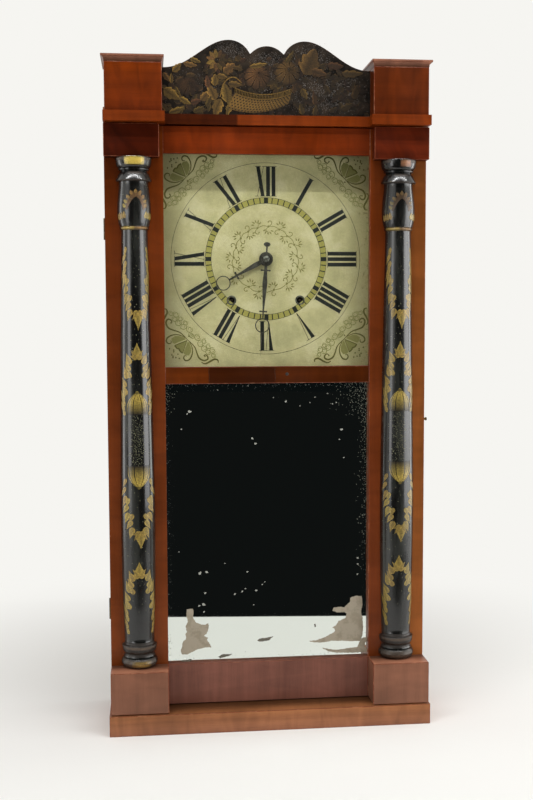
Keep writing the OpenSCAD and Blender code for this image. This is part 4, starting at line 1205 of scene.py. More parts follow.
@dataclass
class SplatStencil:
    """Bronze-powder fruit, leaves and a basket on the splat, as a stenciller lays them out."""

    height: float = 774.4
    leaves: Table = ((-96.6, 60.9, -15, 15, 6.5, 1, 0.5), (-112.1, 56.4, 40, 13, 8, 1, 0.15),
        (-90.2, 66.4, -25, 13, 5.5, 0.8, 0), (-126, 46, -60, 12, 6, 0.8, 0.6),
        (-118.5, 43.6, 85, 11, 4.5, 0.9, 0.1), (-120.5, 25.4, -40, 20, 13, 0.85, 0.1),
        (-112, 29, -65, 12, 4, 0.6, 0), (-103.5, 17.2, -35, 14, 7, 1, 0),
        (-89.8, 15.8, 10, 12, 7, 0.7, 1), (-77.9, 22.6, 45, 13, 9, 0.9, 0.45),
        (-67.9, 27.2, 110, 18, 12, 1, 0.35), (-73.8, 40, 90, 13, 7, 0.9, 0.95),
        (-64.7, 42.3, 80, 13, 9, 0.9, 0.2), (-57, 47.3, -20, 11, 7, 0.8, 0.3),
        (-62.4, 11, -115, 20, 13, 1, 0.25), (-47.8, 10.4, -115, 19, 7.5, 1, 0.05),
        (-50.1, 26.3, 95, 21, 13, 0.8, 0.1), (-41.5, 37.7, -10, 15, 8, 0.65, 0.3),
        (-47.8, 56.8, 30, 15, 12, 1, 0.6), (-38.7, 58.2, -10, 9, 5, 0.5, 0.4),
        (-113.5, 4.5, 15, 18, 7.5, 0.9, 0), (-127, 9, 120, 12, 6, 0.4, 0.3),
        (-86.1, 6, 20, 13, 7, 0.45, 0), (-72.9, 15.8, 60, 13, 6, 0.4, 0), (-12, 61, 5, 20, 6, 0.9, 0.15),
        (54.2, 64.9, 60, 30, 24, 0.5, 0.45), (64, 54, -20, 18, 10, 0.5, 0.7),
        (28.6, 72, 50, 16, 5, 0.4, 0), (84.8, 62.6, -10, 18, 9, 0.4, 0.9),
        (105.7, 53, -5, 24, 9, 0.4, 0.35), (45.8, 28.6, -70, 13, 8, 0.45, 0.1),
        (60.2, 22.1, 90, 16, 6, 0.4, 0.8), (60.7, 7, 70, 12, 6, 0.35, 0.3),
        (44, 8, 100, 12, 7, 0.35, 0.1), (112, 30, 70, 16, 9, 0.25, 0.5), (100, 12, 20, 16, 8, 0.22, 0.3))
    melons: Table = ((-98, 34.5, 13.5, 0.3, 0.8), (-12.3, 47.3, 17, 0.75, 0.8),
        (25.4, 52.8, 17, 0.55, 0.5))
    stem: tuple[Pair, ...] = ((-58.8, 22.6), (-55.1, 37.2), (-47.8, 45.4), (-39.6, 46.4), (-31.9, 40))

    def build(self) -> None:
        """Lays the stencil on the splat's face."""
        paint = Paint()
        self.undergrowth(paint)
        for x, z, radius, strength, tint in self.melons:
            self.melon(paint, x, z, radius, strength, tint)
        for x, z, angle, length, width, strength, tint in self.leaves:
            turn = radians(angle)
            foot = swung((x, z), turn, -length / 2, 0)
            paint.leaf(foot, angle, 1.15 * length, 1.15 * width, 1.35 * strength, 0.3 * strength, tint,
                3, 0.1, 8)
            paint.stroke([foot, swung((x, z), turn, 0.35 * length, 0)], 0.6, 0.3, 3, 0.1)
        self.flower(paint)
        self.basket(paint)
        front = Box.of("splat").low.y - 0.06 * MM
        finish = BronzePowder("splat_bronze_powder", "#b8913c", "#96603a", worn=0.47).material()
        lay("splat_stencil", paint, flat_at(0, front, self.height * MM), Body.CASE, Slot.BLACK, finish)
        self.stipple(front)

    def undergrowth(self, paint: Paint) -> None:
        """Fills the ground between the fruit with dim small leaves."""
        chance = random.Random(4)
        for _ in range(260):
            x = chance.uniform(-127, 126)
            z = chance.uniform(2, self.edge_at(x) - 10)
            dim = chance.uniform(0.14, 0.42) * (1 if x < 40 else 0.6)
            paint.leaf((x, z), chance.uniform(0, 360), chance.uniform(6, 13), chance.uniform(4, 8), dim,
                0.3 * dim, chance.uniform(0, 1), 2, 0.15, 4)

    def edge_at(self, x: float) -> float:
        """Gives the height of the splat's top edge, roughly, above its foot."""
        away = abs(x)
        if away < 24:
            return 80
        if away < 62:
            return 86
        return max(57, 86 - 0.6 * (away - 62))

    def melon(self, paint: Paint, x: float, z: float, radius: float, strength: float,
            tint: float) -> None:
        """Adds a melon: bronzed segments that meet at its stalk, with dark ribs between."""
        ribs = 9
        stalk = (x + 0.1 * radius, z + 0.35 * radius)
        for k in range(ribs):
            rows, powder = [], []
            for i in range(7):
                row, dust = [], []
                for j in range(5):
                    a = 2 * pi * (k + 0.08 + 0.84 * j / 4) / ribs
                    rim = (x + radius * cos(a), z + 0.92 * radius * sin(a))
                    t = 0.08 + 0.92 * i / 6
                    bulge = 1 - 0.06 * abs(j - 2)
                    row.append((stalk[0] + (rim[0] - stalk[0]) * t * bulge,
                        stalk[1] + (rim[1] - stalk[1]) * t * bulge))
                    glow = 0.35 + 0.65 * sin(pi * t) ** 0.8
                    edge = 0.55 + 0.45 * abs(j / 2 - 1)
                    side = 0.75 - 0.3 * cos(a) + 0.1 * sin(a)
                    dust.append(strength * glow * edge * side)
                rows.append(row)
                powder.append(dust)
            paint.grid(rows, powder, tint)

    def flower(self, paint: Paint) -> None:
        """Adds a round flower of narrow petals at the left hump, brightest at its left."""
        for k in range(11):
            angle = 360 / 11 * k
            turn = radians(angle)
            glow = 0.6 - 0.45 * cos(turn)
            paint.leaf(swung((-62.4, 67), turn, 3, 0), angle, 11, 6, glow, 0.7 * glow,
                0.1 + 0.3 * (k % 3))

    def basket(self, paint: Paint) -> None:
        """Adds the basket: woven cane with dark eyes, a comb over it and a bent stem."""
        rows, powder = [], []
        for i in range(9):
            rows.append([self.cane(j / 24, i / 8) for j in range(25)])
            powder.append([0.8 - 0.35 * abs(i / 4 - 1) ** 3 - 0.3 * (j / 24) ** 3 for j in range(25)])
        paint.grid(rows, powder, 0.35)
        for row in range(6):
            for k in range(19):
                eye = self.cane((k + 0.5 + 0.5 * (row % 2)) / 19.5, (row + 0.5) / 6)
                paint.leaf((eye[0] - 1.2, eye[1] - 0.7), 32, 2.8, 1.5, 0.06, 0.06, 0.5, 0, 0, 2)
        for k in range(38):
            x, z = self.cane(k / 37, 1)
            paint.stroke([(x, z + 0.8), (x + 0.3, z + 5.8)], 0.8, 0.7, 2, 0.5, 0.1)
        for rise in (0.2, 6.2):
            paint.stroke([(x, z + rise) for x, z in (self.cane(k / 8, 1) for k in range(9))], 0.9, 0.8,
                4, 0.65, 0.2)
        paint.stroke(list(self.stem), 1.5, 0.6, 6, 0.7, 0.25)
        paint.stroke([(-131, 0.7), (-60, 0.6), (0, 0.7), (60, 0.6), (131, 0.7)], 1.1, 0.8, 4, 0.8, 0.8)

    def cane(self, across: float, up: float) -> Pair:
        """Gives a point of the basket's side.

        Args:
            across: From 0 at its left to 1 at its right.
            up: From 0 at its foot to 1 at its rim.

        Returns:
            The point, in millimetres.
        """
        rim = (-40.3 + 70.2 * across, 27.5 - 29.2 * across * (1 - across))
        foot = (-49.9 + 76.6 * across, 9.0 + 6.4 * across - 36 * across * (1 - across) * 0.9)
        return (foot[0] + (rim[0] - foot[0]) * up, max(1.5, foot[1]) + (rim[1] - max(1.5, foot[1])) * up)

    def stipple(self, front: float) -> None:
        """Strews star-like flecks and dust over the right half and the left hump."""
        sheet = Paint()
        for *span, rim in ((30, 129, 1, 56, 1.0), (-72, -22, 64, 91, 1.0), (24, 84, 50, 90, 0.8),
                (-128, -30, 2, 60, 0.3), (-30, 60, 1, 80, 0.5), (-24, 22, 60, 79, 0.9)):
            sheet.sheet(span, (8, 8), lambda u, v, rim=rim: rim * (sin(pi * v) * sin(pi * u)))
        mesh = sheet.mesh("dust_sheet", flat_at(0, front + 0.05 * MM, self.height * MM))
        finish = Ink("grey_bronze_dust", "#77706a", "#2a2622", 0.55).material()
        dust = cook(scattered_flecks(finish), {"Density": 900000.0, "Least": 0.00012, "Most": 0.00034,
            "Seed": 5}, mesh)
        piece("splat_dust", dust, Body.CASE, Slot.BLACK)


@dataclass
class ColumnStencil:
    """Bronze-powder leaves and furry melons down the front of one half column.

    It is drawn unrolled: across in millimetres round the shaft, up in millimetres of height.
    """

    side: str
    turn: float = 0
    fade: float = 1
    radius: float = 18.5
    proud: float = 0.09
    half_length: float = 58.0
    tip_table: Table = ((3.5, 533, -1, 25, 1), (1.4, 472, 1, 21.5, 1), (3.0, 258, -1, 23, 0.9),
        (0.9, 197.5, 1, 21.5, 1))
    lobes: Table = ((2.5, 10.5, 552, 529, 8.5), (2.5, 14.4, 573, 547, 8.5), (2.5, 17, 612, 566, 6.5),
        (0.8, 9.8, 449, 472, 8.5), (0.8, 14.4, 428, 455, 8), (0.8, 17, 402, 434, 6.5),
        (1, 8.4, 280, 257, 8), (1, 13.2, 300, 275, 8), (1, 15.8, 324, 295, 6.5), (2, 10, 177, 199, 9),
        (2, 14.6, 157, 186, 9), (2, 17.6, 124, 168, 7))
    point: tuple[Pair, ...] = ((0, 0.3), (0.12, 0.85), (0.28, 1), (0.45, 0.86), (0.62, 0.56),
        (0.8, 0.24), (1, 0))

    def __post_init__(self) -> None:
        """Reads the turned outline of the CAD column."""
        node = f"half_column_{self.side}"
        self.box = Box.of(node)
        self.axis = Vector((self.box.centre.x, self.box.high.y, 0))
        widest: dict[float, float] = {}
        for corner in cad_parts[node].data.vertices:
            away = (corner.co - self.axis).to_2d().length
            level = round(corner.co.z, 5)
            widest[level] = max(widest.get(level, 0), away)
        self.outline = sorted(widest.items())

    def radius_at(self, z: float) -> float:
        """Gives the column's radius at a height, in metres."""
        for (z0, r0), (z1, r1) in zip(self.outline, self.outline[1:]):
            if z0 <= z <= z1:
                return r0 + (r1 - r0) * ((z - z0) / (z1 - z0) if z1 > z0 else 0)
        return self.outline[-1][1]

    def place(self, across: float, up: float, lift: float) -> Vector:
        """Wraps a drawn point on to the column, just proud of it."""
        angle = (across + self.turn) / self.radius
        reach = self.radius_at(up * MM) + (self.proud + lift) * MM
        return Vector((self.axis.x + reach * sin(angle), self.axis.y - reach * cos(angle), up * MM))

    def build(self) -> None:
        """Draws and lays the whole stencil."""
        paint = Paint()
        self.bands(paint)
        self.tips(paint)
        self.borders(paint)
        self.melon(paint, 372)
        self.urn(paint)
        finish = BronzePowder(f"{self.side}_column_bronze_powder", "#cdb24d", "#b06c48",
            worn=0.49 + 0.05 * (1 - self.fade), coat=0.5).material()
        lay(f"{self.side}_column_stencil", paint, self.place, Body.DOOR, Slot.BLACK, finish)
        self.wear()
        self.fur()

    def patch(self, paint: Paint, span: Sequence[float], strength: float, tint: float) -> None:
        """Adds a patch of gilding that fades at its ends.

        Args:
            paint: Gets the patch.
            span: Its foot, its top and its two ends, in millimetres.
            strength: Powder at its middle.
            tint: Gold at 0, copper at 1.
        """
        paint.sheet((*span[2:], *span[:2]), (16, 8),
            lambda u, v: strength * (0.35 + 0.65 * sin(pi * v)) * sin(pi * (16 * u + 0.5) / 17) ** 0.5, tint)

    def bands(self, paint: Paint) -> None:
        """Gilds the cup, the neck ring and the foot in worn patches."""
        left = self.side == "left"
        self.patch(paint, (710.5, 720.4, -10, 12) if left else (711, 720, 0, 13), 2.2 if left else 0.8,
            0 if left else 0.9)
        self.patch(paint, (631.8, 636.6, -21, 6), self.fade, 0.15)
        self.patch(paint, (631.8, 636.6, 0, 21), 0.8 * self.fade, 0.6)
        if left:
            self.patch(paint, (83, 91, -8, 13), 0.75, 0.35)

    def wear(self) -> None:
        """Bares pinkish ground where the turned rings have lost their black."""
        paint = Paint()
        for *span, strength in ((82.5, 92.5, -21, 21, 0.55), (105, 109.6, -22, 22, 0.7),
                (92.6, 104.8, -24, 24, 0.1), (109.7, 114, -24, 24, 0.1), (690.8, 692.6, -21, 21, 0.4),
                (716, 720.6, -22, -10, 0.5), (716, 720.6, 12, 22, 0.5), (699, 703, -8, 12, 0.3)):
            self.patch(paint, span, strength * self.fade, 0.2)
        finish = BronzePowder(f"{self.side}_column_bared_ground", "#7f6c5a", "#6f5442", worn=0.46)
        lay(f"{self.side}_column_wear", paint, self.place, Body.DOOR, Slot.BLACK, finish.material())

    def tips(self, paint: Paint) -> None:
        """Adds the saw-edged leaves that point at each other along the front."""
        for x, z, way, length, strength in self.tip_table:
            strength *= self.fade
            self.leaflet(paint, (x, z + 1.5 * way), 90 * way, length - 1.5, 10.5, strength, 0.12)
            for lean, reach in ((36, 13), (-36, 13), (68, 9.5), (-68, 9.5)):
                self.leaflet(paint, (x, z + 1.5 * way), 90 * way + lean, reach, 5.6, strength, 0.2)

    def leaflet(self, paint: Paint, foot: Pair, angle: float, length: float, width: float,
            strength: float, tint: float) -> None:
        """Adds one pointed leaflet."""
        rows = [(length * t, -width / 2 * w, width / 2 * w) for t, w in self.point]
        paint.blade(foot, angle, rows, strength, 0.5 * strength, tint, 4)

    def borders(self, paint: Paint) -> None:
        """Adds the ragged lobes that hang down both flanks and close in towards the tips."""
        chance = random.Random(21)
        for middle, x, far, near, width in self.lobes:
            way, long = (1 if near > far else -1), abs(near - far)
            for flank in (-1, 1):
                strength = self.fade * chance.uniform(0.9, 1.15) * (1 if flank < 0 else 0.85)
                tint = chance.uniform(0, 0.3)
                count = 3 if long < 30 else 5
                for k in range(count):
                    lean = 18 + 12 * (k % 2) + chance.uniform(-5, 5)
                    foot = (middle + flank * (x - 0.24 * width + 0.9 * (k % 2)),
                        far + way * long * (0.02 + 0.74 * k / (count - 1)))
                    size = 0.8 + 0.35 * k / count
                    self.leaflet(paint, foot, 90 * way - flank * way * lean, (11.5 + 0.14 * long) * size,
                        0.86 * width * size, strength, tint)

    def melon(self, paint: Paint, middle: float) -> None:
        """Adds the melon's two ends: gold segments between black ribs, under a knot."""
        for way in (-1, 1):
            knot, shift = middle + way * self.half_length, 1.2 + (0.8 if way < 0 else 0)
            for inner, outer, glow in ((-0.36, 0.36, 1.0), (0.44, 0.82, 0.95), (0.9, 1, 1.0),
                    (-0.82, -0.44, 0.95), (-1, -0.9, 1.0)):
                rows, powder = [], []
                for i in range(13):
                    t = i / 12
                    wide = 12.8 * sin(pi / 2 * min(1, 0.1 + 1.3 * t)) ** 0.75
                    fade = glow * min(1.15, 1.5 - 1.5 * t) * (0.35 if i == 12 else 1)
                    edges = [inner + (outer - inner) * j / 6 for j in range(7)]
                    rows.append([(shift + wide * e, knot - way * 26 * t) for e in edges])
                    powder.append([self.fade * fade * (0.75 + 0.25 * abs(j / 3 - 1)) for j in range(7)])
                paint.grid(rows, powder, 0.05)
            paint.leaf((shift - 2.3, knot + way * 1.2), 0, 4.6, 4.2, 1.1 * self.fade, 0.2 * self.fade, 0)

    def urn(self, paint: Paint) -> None:
        """Adds the pointed arch of lobes and the pale leaves on the urn under the capital."""
        arch = [(-8.6, 656), (-7, 662), (-4.6, 668), (-1.2, 672.5), (2.4, 674.5), (6, 672.5), (8.8, 668),
            (10.4, 662), (11, 656)]
        glow = 0.7 if self.side == "left" else 0.3
        paint.stroke(arch, 5.6, 0.35, 3, 0.45 * glow, 0.7)
        for x, z, angle, tint in ((2.4, 675.5, 90, 0.5), (-1.6, 674, 112, 0.6), (-5, 669.5, 130, 0.4),
                (-7.6, 664, 135, 0.1), (-9.4, 658.5, 125, 0), (6.4, 674, 68, 0.6), (9.4, 669.5, 50, 0.6),
                (11.4, 664, 45, 0.4), (12, 658.5, 55, 0.5)):
            paint.leaf((x, z), angle, 6, 4.4, 1.1 * glow, 0.9 * glow, tint, 0, 0, 6)
        for flank in (-1, 1):
            for k in range(4):
                paint.leaf((1.5 + flank * (12 + 3.2 * k), 645.5 - 0.6 * k), 90 - flank * 8,
                    9 - 0.6 * (k % 2), 4.4, 1.1 * self.fade, 0.6 * self.fade, 0.3 if flank < 0 else 0.05,
                    2)

    def fur(self) -> None:
        """Stipples the melon's body and the ground round it."""
        sheet = Paint()
        for z0, z1, half, strength in ((336, 408, 9.5, 1), (140, 700, 20, 0.08)):
            sheet.sheet((-half, half, z0, z1), (10, 16),
                lambda u, v, strength=strength: strength * self.fade * sin(pi * (16 * v + 0.5) / 17) ** 0.5
                * sin(pi * (10 * u + 0.5) / 11))
        mesh = sheet.mesh("fur_sheet", self.place)
        finish = Ink(f"{self.side}_column_grey_dust", "#7d7c60", "#2c2b23", 0.58).material()
        dust = cook(scattered_flecks(finish), {"Density": 260000.0, "Least": 0.0002, "Most": 0.0006,
            "Seed": 3}, mesh)
        piece(f"{self.side}_column_dust", dust, Body.DOOR, Slot.BLACK)


@dataclass
class Door:
    """The door: veneered frame, corner blocks, half columns, dial glass and looking glass."""

    # The stiles' sheen colours, towards their outer sides, are a painted reflection of the side lights.
    panels: tuple[tuple[str, Veneer],
        ...] = (("door_left_stile", Veneer("left_stile_veneer", "#582201", "#783914", Grain.UPRIGHT, 11,
        14, 0.12, sheen_span=(-175, -150), sheen_top="#682a01", sheen_foot="#6a3315")),
        ("door_right_stile", Veneer("right_stile_veneer", "#602701", "#743514", Grain.UPRIGHT, 12, 14,
        0.12, sheen_span=(150, 190), sheen_top="#6d3a12", sheen_foot="#915223")),
        ("door_top_rail", Veneer("top_rail_veneer", "#672402", "#672402", Grain.LEVEL, 13, 12, 0.2)),
        ("door_mid_rail", Veneer("mid_rail_veneer", "#562300", "#562300", Grain.LEVEL, 14, 12, 0.15,
        spans=((-75.4, 8.6, 0.42), (8.6, 132, 0.68)))),
        # The bottom rail's and the plinth blocks' pale greyish colours carry a painted reflection of the
        # pale floor.
        ("door_bottom_rail", Veneer("bottom_rail_veneer", "#764b3e", "#764b3e", Grain.UPRIGHT, 15, 14,
        0.1)), ("frieze_blocks", Veneer("frieze_veneer", "#3b0f01", "#3b0f01", Grain.LEVEL, 16, 9, 0.3,
        25, spans=((0, 210, 1.7),))),
        ("plinth_blocks", Veneer("plinth_veneer", "#784f3c", "#77503e", Grain.UPRIGHT, 17, 20, 0.1,
        upper=1.1)))
    crack_x: tuple[float, ...] = (-75.4, 8.6)
    patches: tuple[tuple[Pair, ...], ...] = (((-106.2, 148.5), (-98.2, 149.2), (-97.2, 143.7),
        (-97.9, 137.1), (-95.6, 132.2), (-88.9, 128.4), (-83, 127.4), (-78, 129.7), (-77.7, 122.5),
        (-80.3, 116), (-83.6, 112.7), (-78.3, 110.1), (-80.7, 107.8), (-77, 102.9), (-74.7, 97.1),
        (-82.3, 97.4), (-92.2, 95.7), (-97.2, 93.1), (-105.5, 88.8), (-112.8, 89.1), (-114.4, 93.6),
        (-112.1, 101.2), (-111.1, 106.7), (-107.2, 109.3), (-107.8, 115.9), (-106.2, 119.1),
        (-107.8, 125.7), (-104.8, 132.2), (-106.5, 140.4)),
        ((108.5, 157.7), (114.8, 159.3), (123.1, 158.7), (124.1, 146.3), (122.1, 138.1), (124.1, 130),
        (125.1, 116.9), (124.1, 107.1), (122.4, 99), (109.8, 98.9), (96.6, 99.8), (83.3, 100.4),
        (70.1, 98.4), (56.8, 99.6), (52.8, 100.9), (63.4, 102), (73.4, 105.3), (83.3, 110.2),
        (88.3, 113.5), (86.6, 117.4), (83.3, 117.4), (89.9, 121.7), (91.6, 125.9), (101.5, 130.5),
        (103.2, 136.4), (99.2, 138), (89.9, 138), (84, 141.2), (86, 144.5), (94.9, 145.5), (99.9, 144.6),
        (107.2, 151.1)), ((70.1, 91.9), (78.3, 89.6), (89.9, 88), (104.8, 89.7), (117.1, 90.8),
        (119.8, 97.3), (125.1, 103.2), (132.3, 104.6), (133, 100.7), (128, 96.7), (127, 91.5),
        (133, 84.3), (123.1, 83.6), (104.8, 83.5), (89.9, 84.1), (78.3, 86.7)),
        ((-15.4, 103.7), (-11.5, 107), (-3.3, 107.4), (6.6, 109.1), (0, 103.4), (-11.5, 102.4)),
        ((-66.3, 84.6), (-60.3, 87.7), (-47.5, 87.9), (-52.5, 84.7), (-63.3, 82.3)),
        ((-115.8, 81.8), (-100.1, 82.6), (-100.7, 80), (-114.5, 80)),
        ((60, 123.7), (62, 123.6), (62, 119.7), (60.4, 119.4)),
        ((-20.7, 80), (-5, 80), (-5.6, 80), (-19.8, 80)))
    flecks: tuple[Triple, ...] = ((-64.1, 431.9, 1.3), (23.7, 414.9, 2.5), (7.6, 420.6, 1.3),
        (-20, 370, 2.8), (-16.2, 362, 2.8), (-110.6, 381.6, 1.6), (-100.4, 404.7, 3.8),
        (-102.9, 400.6, 1.9), (95.5, 378.6, 3.1), (93.1, 366.4, 1.9), (98.8, 341.9, 1.6),
        (-27.4, 195, 2.2), (-56.6, 207.5, 1.3), (-43.8, 166, 2.5), (-34.1, 169, 2.2),
        (-30.1, 173.2, 1.6), (-16.1, 170.4, 2.5), (-7.9, 177.4, 1.6), (-4.6, 181.2, 1.3),
        (-19.5, 151.5, 1.3), (-88, 193.5, 3.8), (-80.1, 197.4, 3.1), (-81.9, 168.2, 2.5),
        (-84.2, 155.1, 3.8), (-90, 152.1, 2.5), (117.4, 210, 2.2), (117.4, 201.7, 1.9),
        (117.4, 187.5, 1.9), (-83.7, 143.7, 2.2), (-115.3, 223.4, 1.3), (88.8, 414.2, 1.6),
        (77.4, 425.5, 1.6), (83.9, 412.5, 1.6), (61.1, 420.9, 1.3), (41.6, 409.9, 1.3),
        (54.6, 414.6, 1.3))
    screw: Pair = (24.0, 451.7)

    def build(self) -> None:
        """Dresses the door and everything that it carries."""
        for node, finish in self.panels:
            dress(node, finish.material(Box.of(node)), Edge.CUT)
        black = BlackPaint("column_black", "#0e0e0d", "#2c2e29", (0.46, 0.76), gloss=0.2)
        for side, turn, fade in (("left", 0.0, 1.0), ("right", -1.7, 0.8)):
            dress(f"half_column_{side}", black.material() if side == "left"
                else bpy.data.materials["column_black"], Edge.TURNED)
            ColumnStencil(side, turn, fade).build()
        dress("dial_glass", ClearGlass().material())
        dress("mirror_glass", SilveredGlass().material(Box.of("mirror_glass")))
        dress("mirror_backing", PINE, Edge.CUT, 0.3)
        dull = Metal("dulled_hinge_brass", "#5a4626", "#2e2516", 0.5, metallic=0.6).material()
        for node in ("door_hinge_leaves", "case_hinge_leaves"):
            dress(node, dull, Edge.TURNED)
        for node in ("latch_pin", "door_hook"):
            dress(node, BRASS, Edge.TURNED)
        self.mark_mid_rail()
        self.lose_silver()

    def lose_silver(self) -> None:
        """Lays the torn patches where the silvering has gone and the backing shows."""
        place = flat_at(0, Box.of("mirror_glass").low.y - 0.03 * MM, 0)
        grey = Ink("lost_silver_backing", "#958b79", "#877d6a", 0.5, 14).material()
        dark_tone = Ink("lost_silver_soot", "#5a564c", "#7d7768", 0.52, 5).material()
        bright = Ink("bright_fleck", "#9b9c93", "#55564f", 0.62).material()
        chance = random.Random(11)
        torn, scars, flecks, margin = Paint(), Paint(), Paint(), Paint()
        for i, outline in enumerate(self.patches):
            (torn if i < 3 else scars).shape(self.ragged(outline, chance))
        for x, z, size in self.flecks:
            flecks.leaf((x - size / 2, z), chance.uniform(-40, 60), 1.3 * size, 0.9 * size, 1, 1, 0, 2,
                0, 3)
        for name, paint, finish in (("lost_silver_patches", torn, grey),
                ("lost_silver_scars", scars, dark_tone), ("lost_silver_flecks", flecks, bright)):
            lay(name, paint, place, Body.DOOR, Slot.SILVERED, finish, 0.02)
        for span in ((72, 131, 396, 441), (112, 131, 190, 441), (-131, -114, 400, 441),
                (-131, -122, 79, 118)):
            margin.sheet(span, (8, 8), lambda u, v, right=span[0] > 0: (u if right else 1 - u) ** 2
                * (0.15 + 0.85 * v))
        dust = cook(scattered_flecks(Ink("margin_fleck", "#777a6c", "#3b3c35", 0.6).material()),
            {"Density": 400000.0, "Least": 0.00022, "Most": 0.0006, "Seed": 8},
            margin.mesh("margin_sheet", place))
        piece("lost_silver_margin", dust, Body.DOOR, Slot.SILVERED)

    def ragged(self, outline: Sequence[Pair], chance: random.Random) -> list[Pair]:
        """Breaks the straight sides of an outline into small uneven steps."""
        torn = []
        for (x0, z0), (x1, z1) in zip(outline, [*outline[1:], outline[0]]):
            steps = max(1, int(hypot(x1 - x0, z1 - z0) / 1.3))
            for k in range(steps):
                torn.append((x0 + (x1 - x0) * k / steps + chance.uniform(-0.45, 0.45),
                    z0 + (z1 - z0) * k / steps + chance.uniform(-0.45, 0.45)))
        return torn

    def mark_mid_rail(self) -> None:
        """Opens the hair cracks across the mid rail's veneer and sets its screw head."""
        rail = Box.of("door_mid_rail")
        paint = Paint()
        for x in self.crack_x:
            paint.stroke([(x, 442.5), (x + 0.5, 449), (x - 0.3, 455), (x + 0.2, 460)], 0.5, 0.5)
        lay("mid_rail_cracks", paint, flat_at(0, rail.low.y - 0.05 * MM, 0), Body.DOOR, Slot.VENEER,
            Ink("open_crack", "#1d0c06", "#2a120a").material(), 0.06)
        x, z = self.screw
        outline = ((0, -0.5), (1.4, -0.45), (2.0, -0.2), (2.1, 0.3), (0, 0.3))
        head = lathe("mid_rail_screw", outline, Vector((x * MM, rail.low.y, z * MM)), 20)
        piece("mid_rail_screw", head, Body.DOOR, Slot.IRON, IRON)


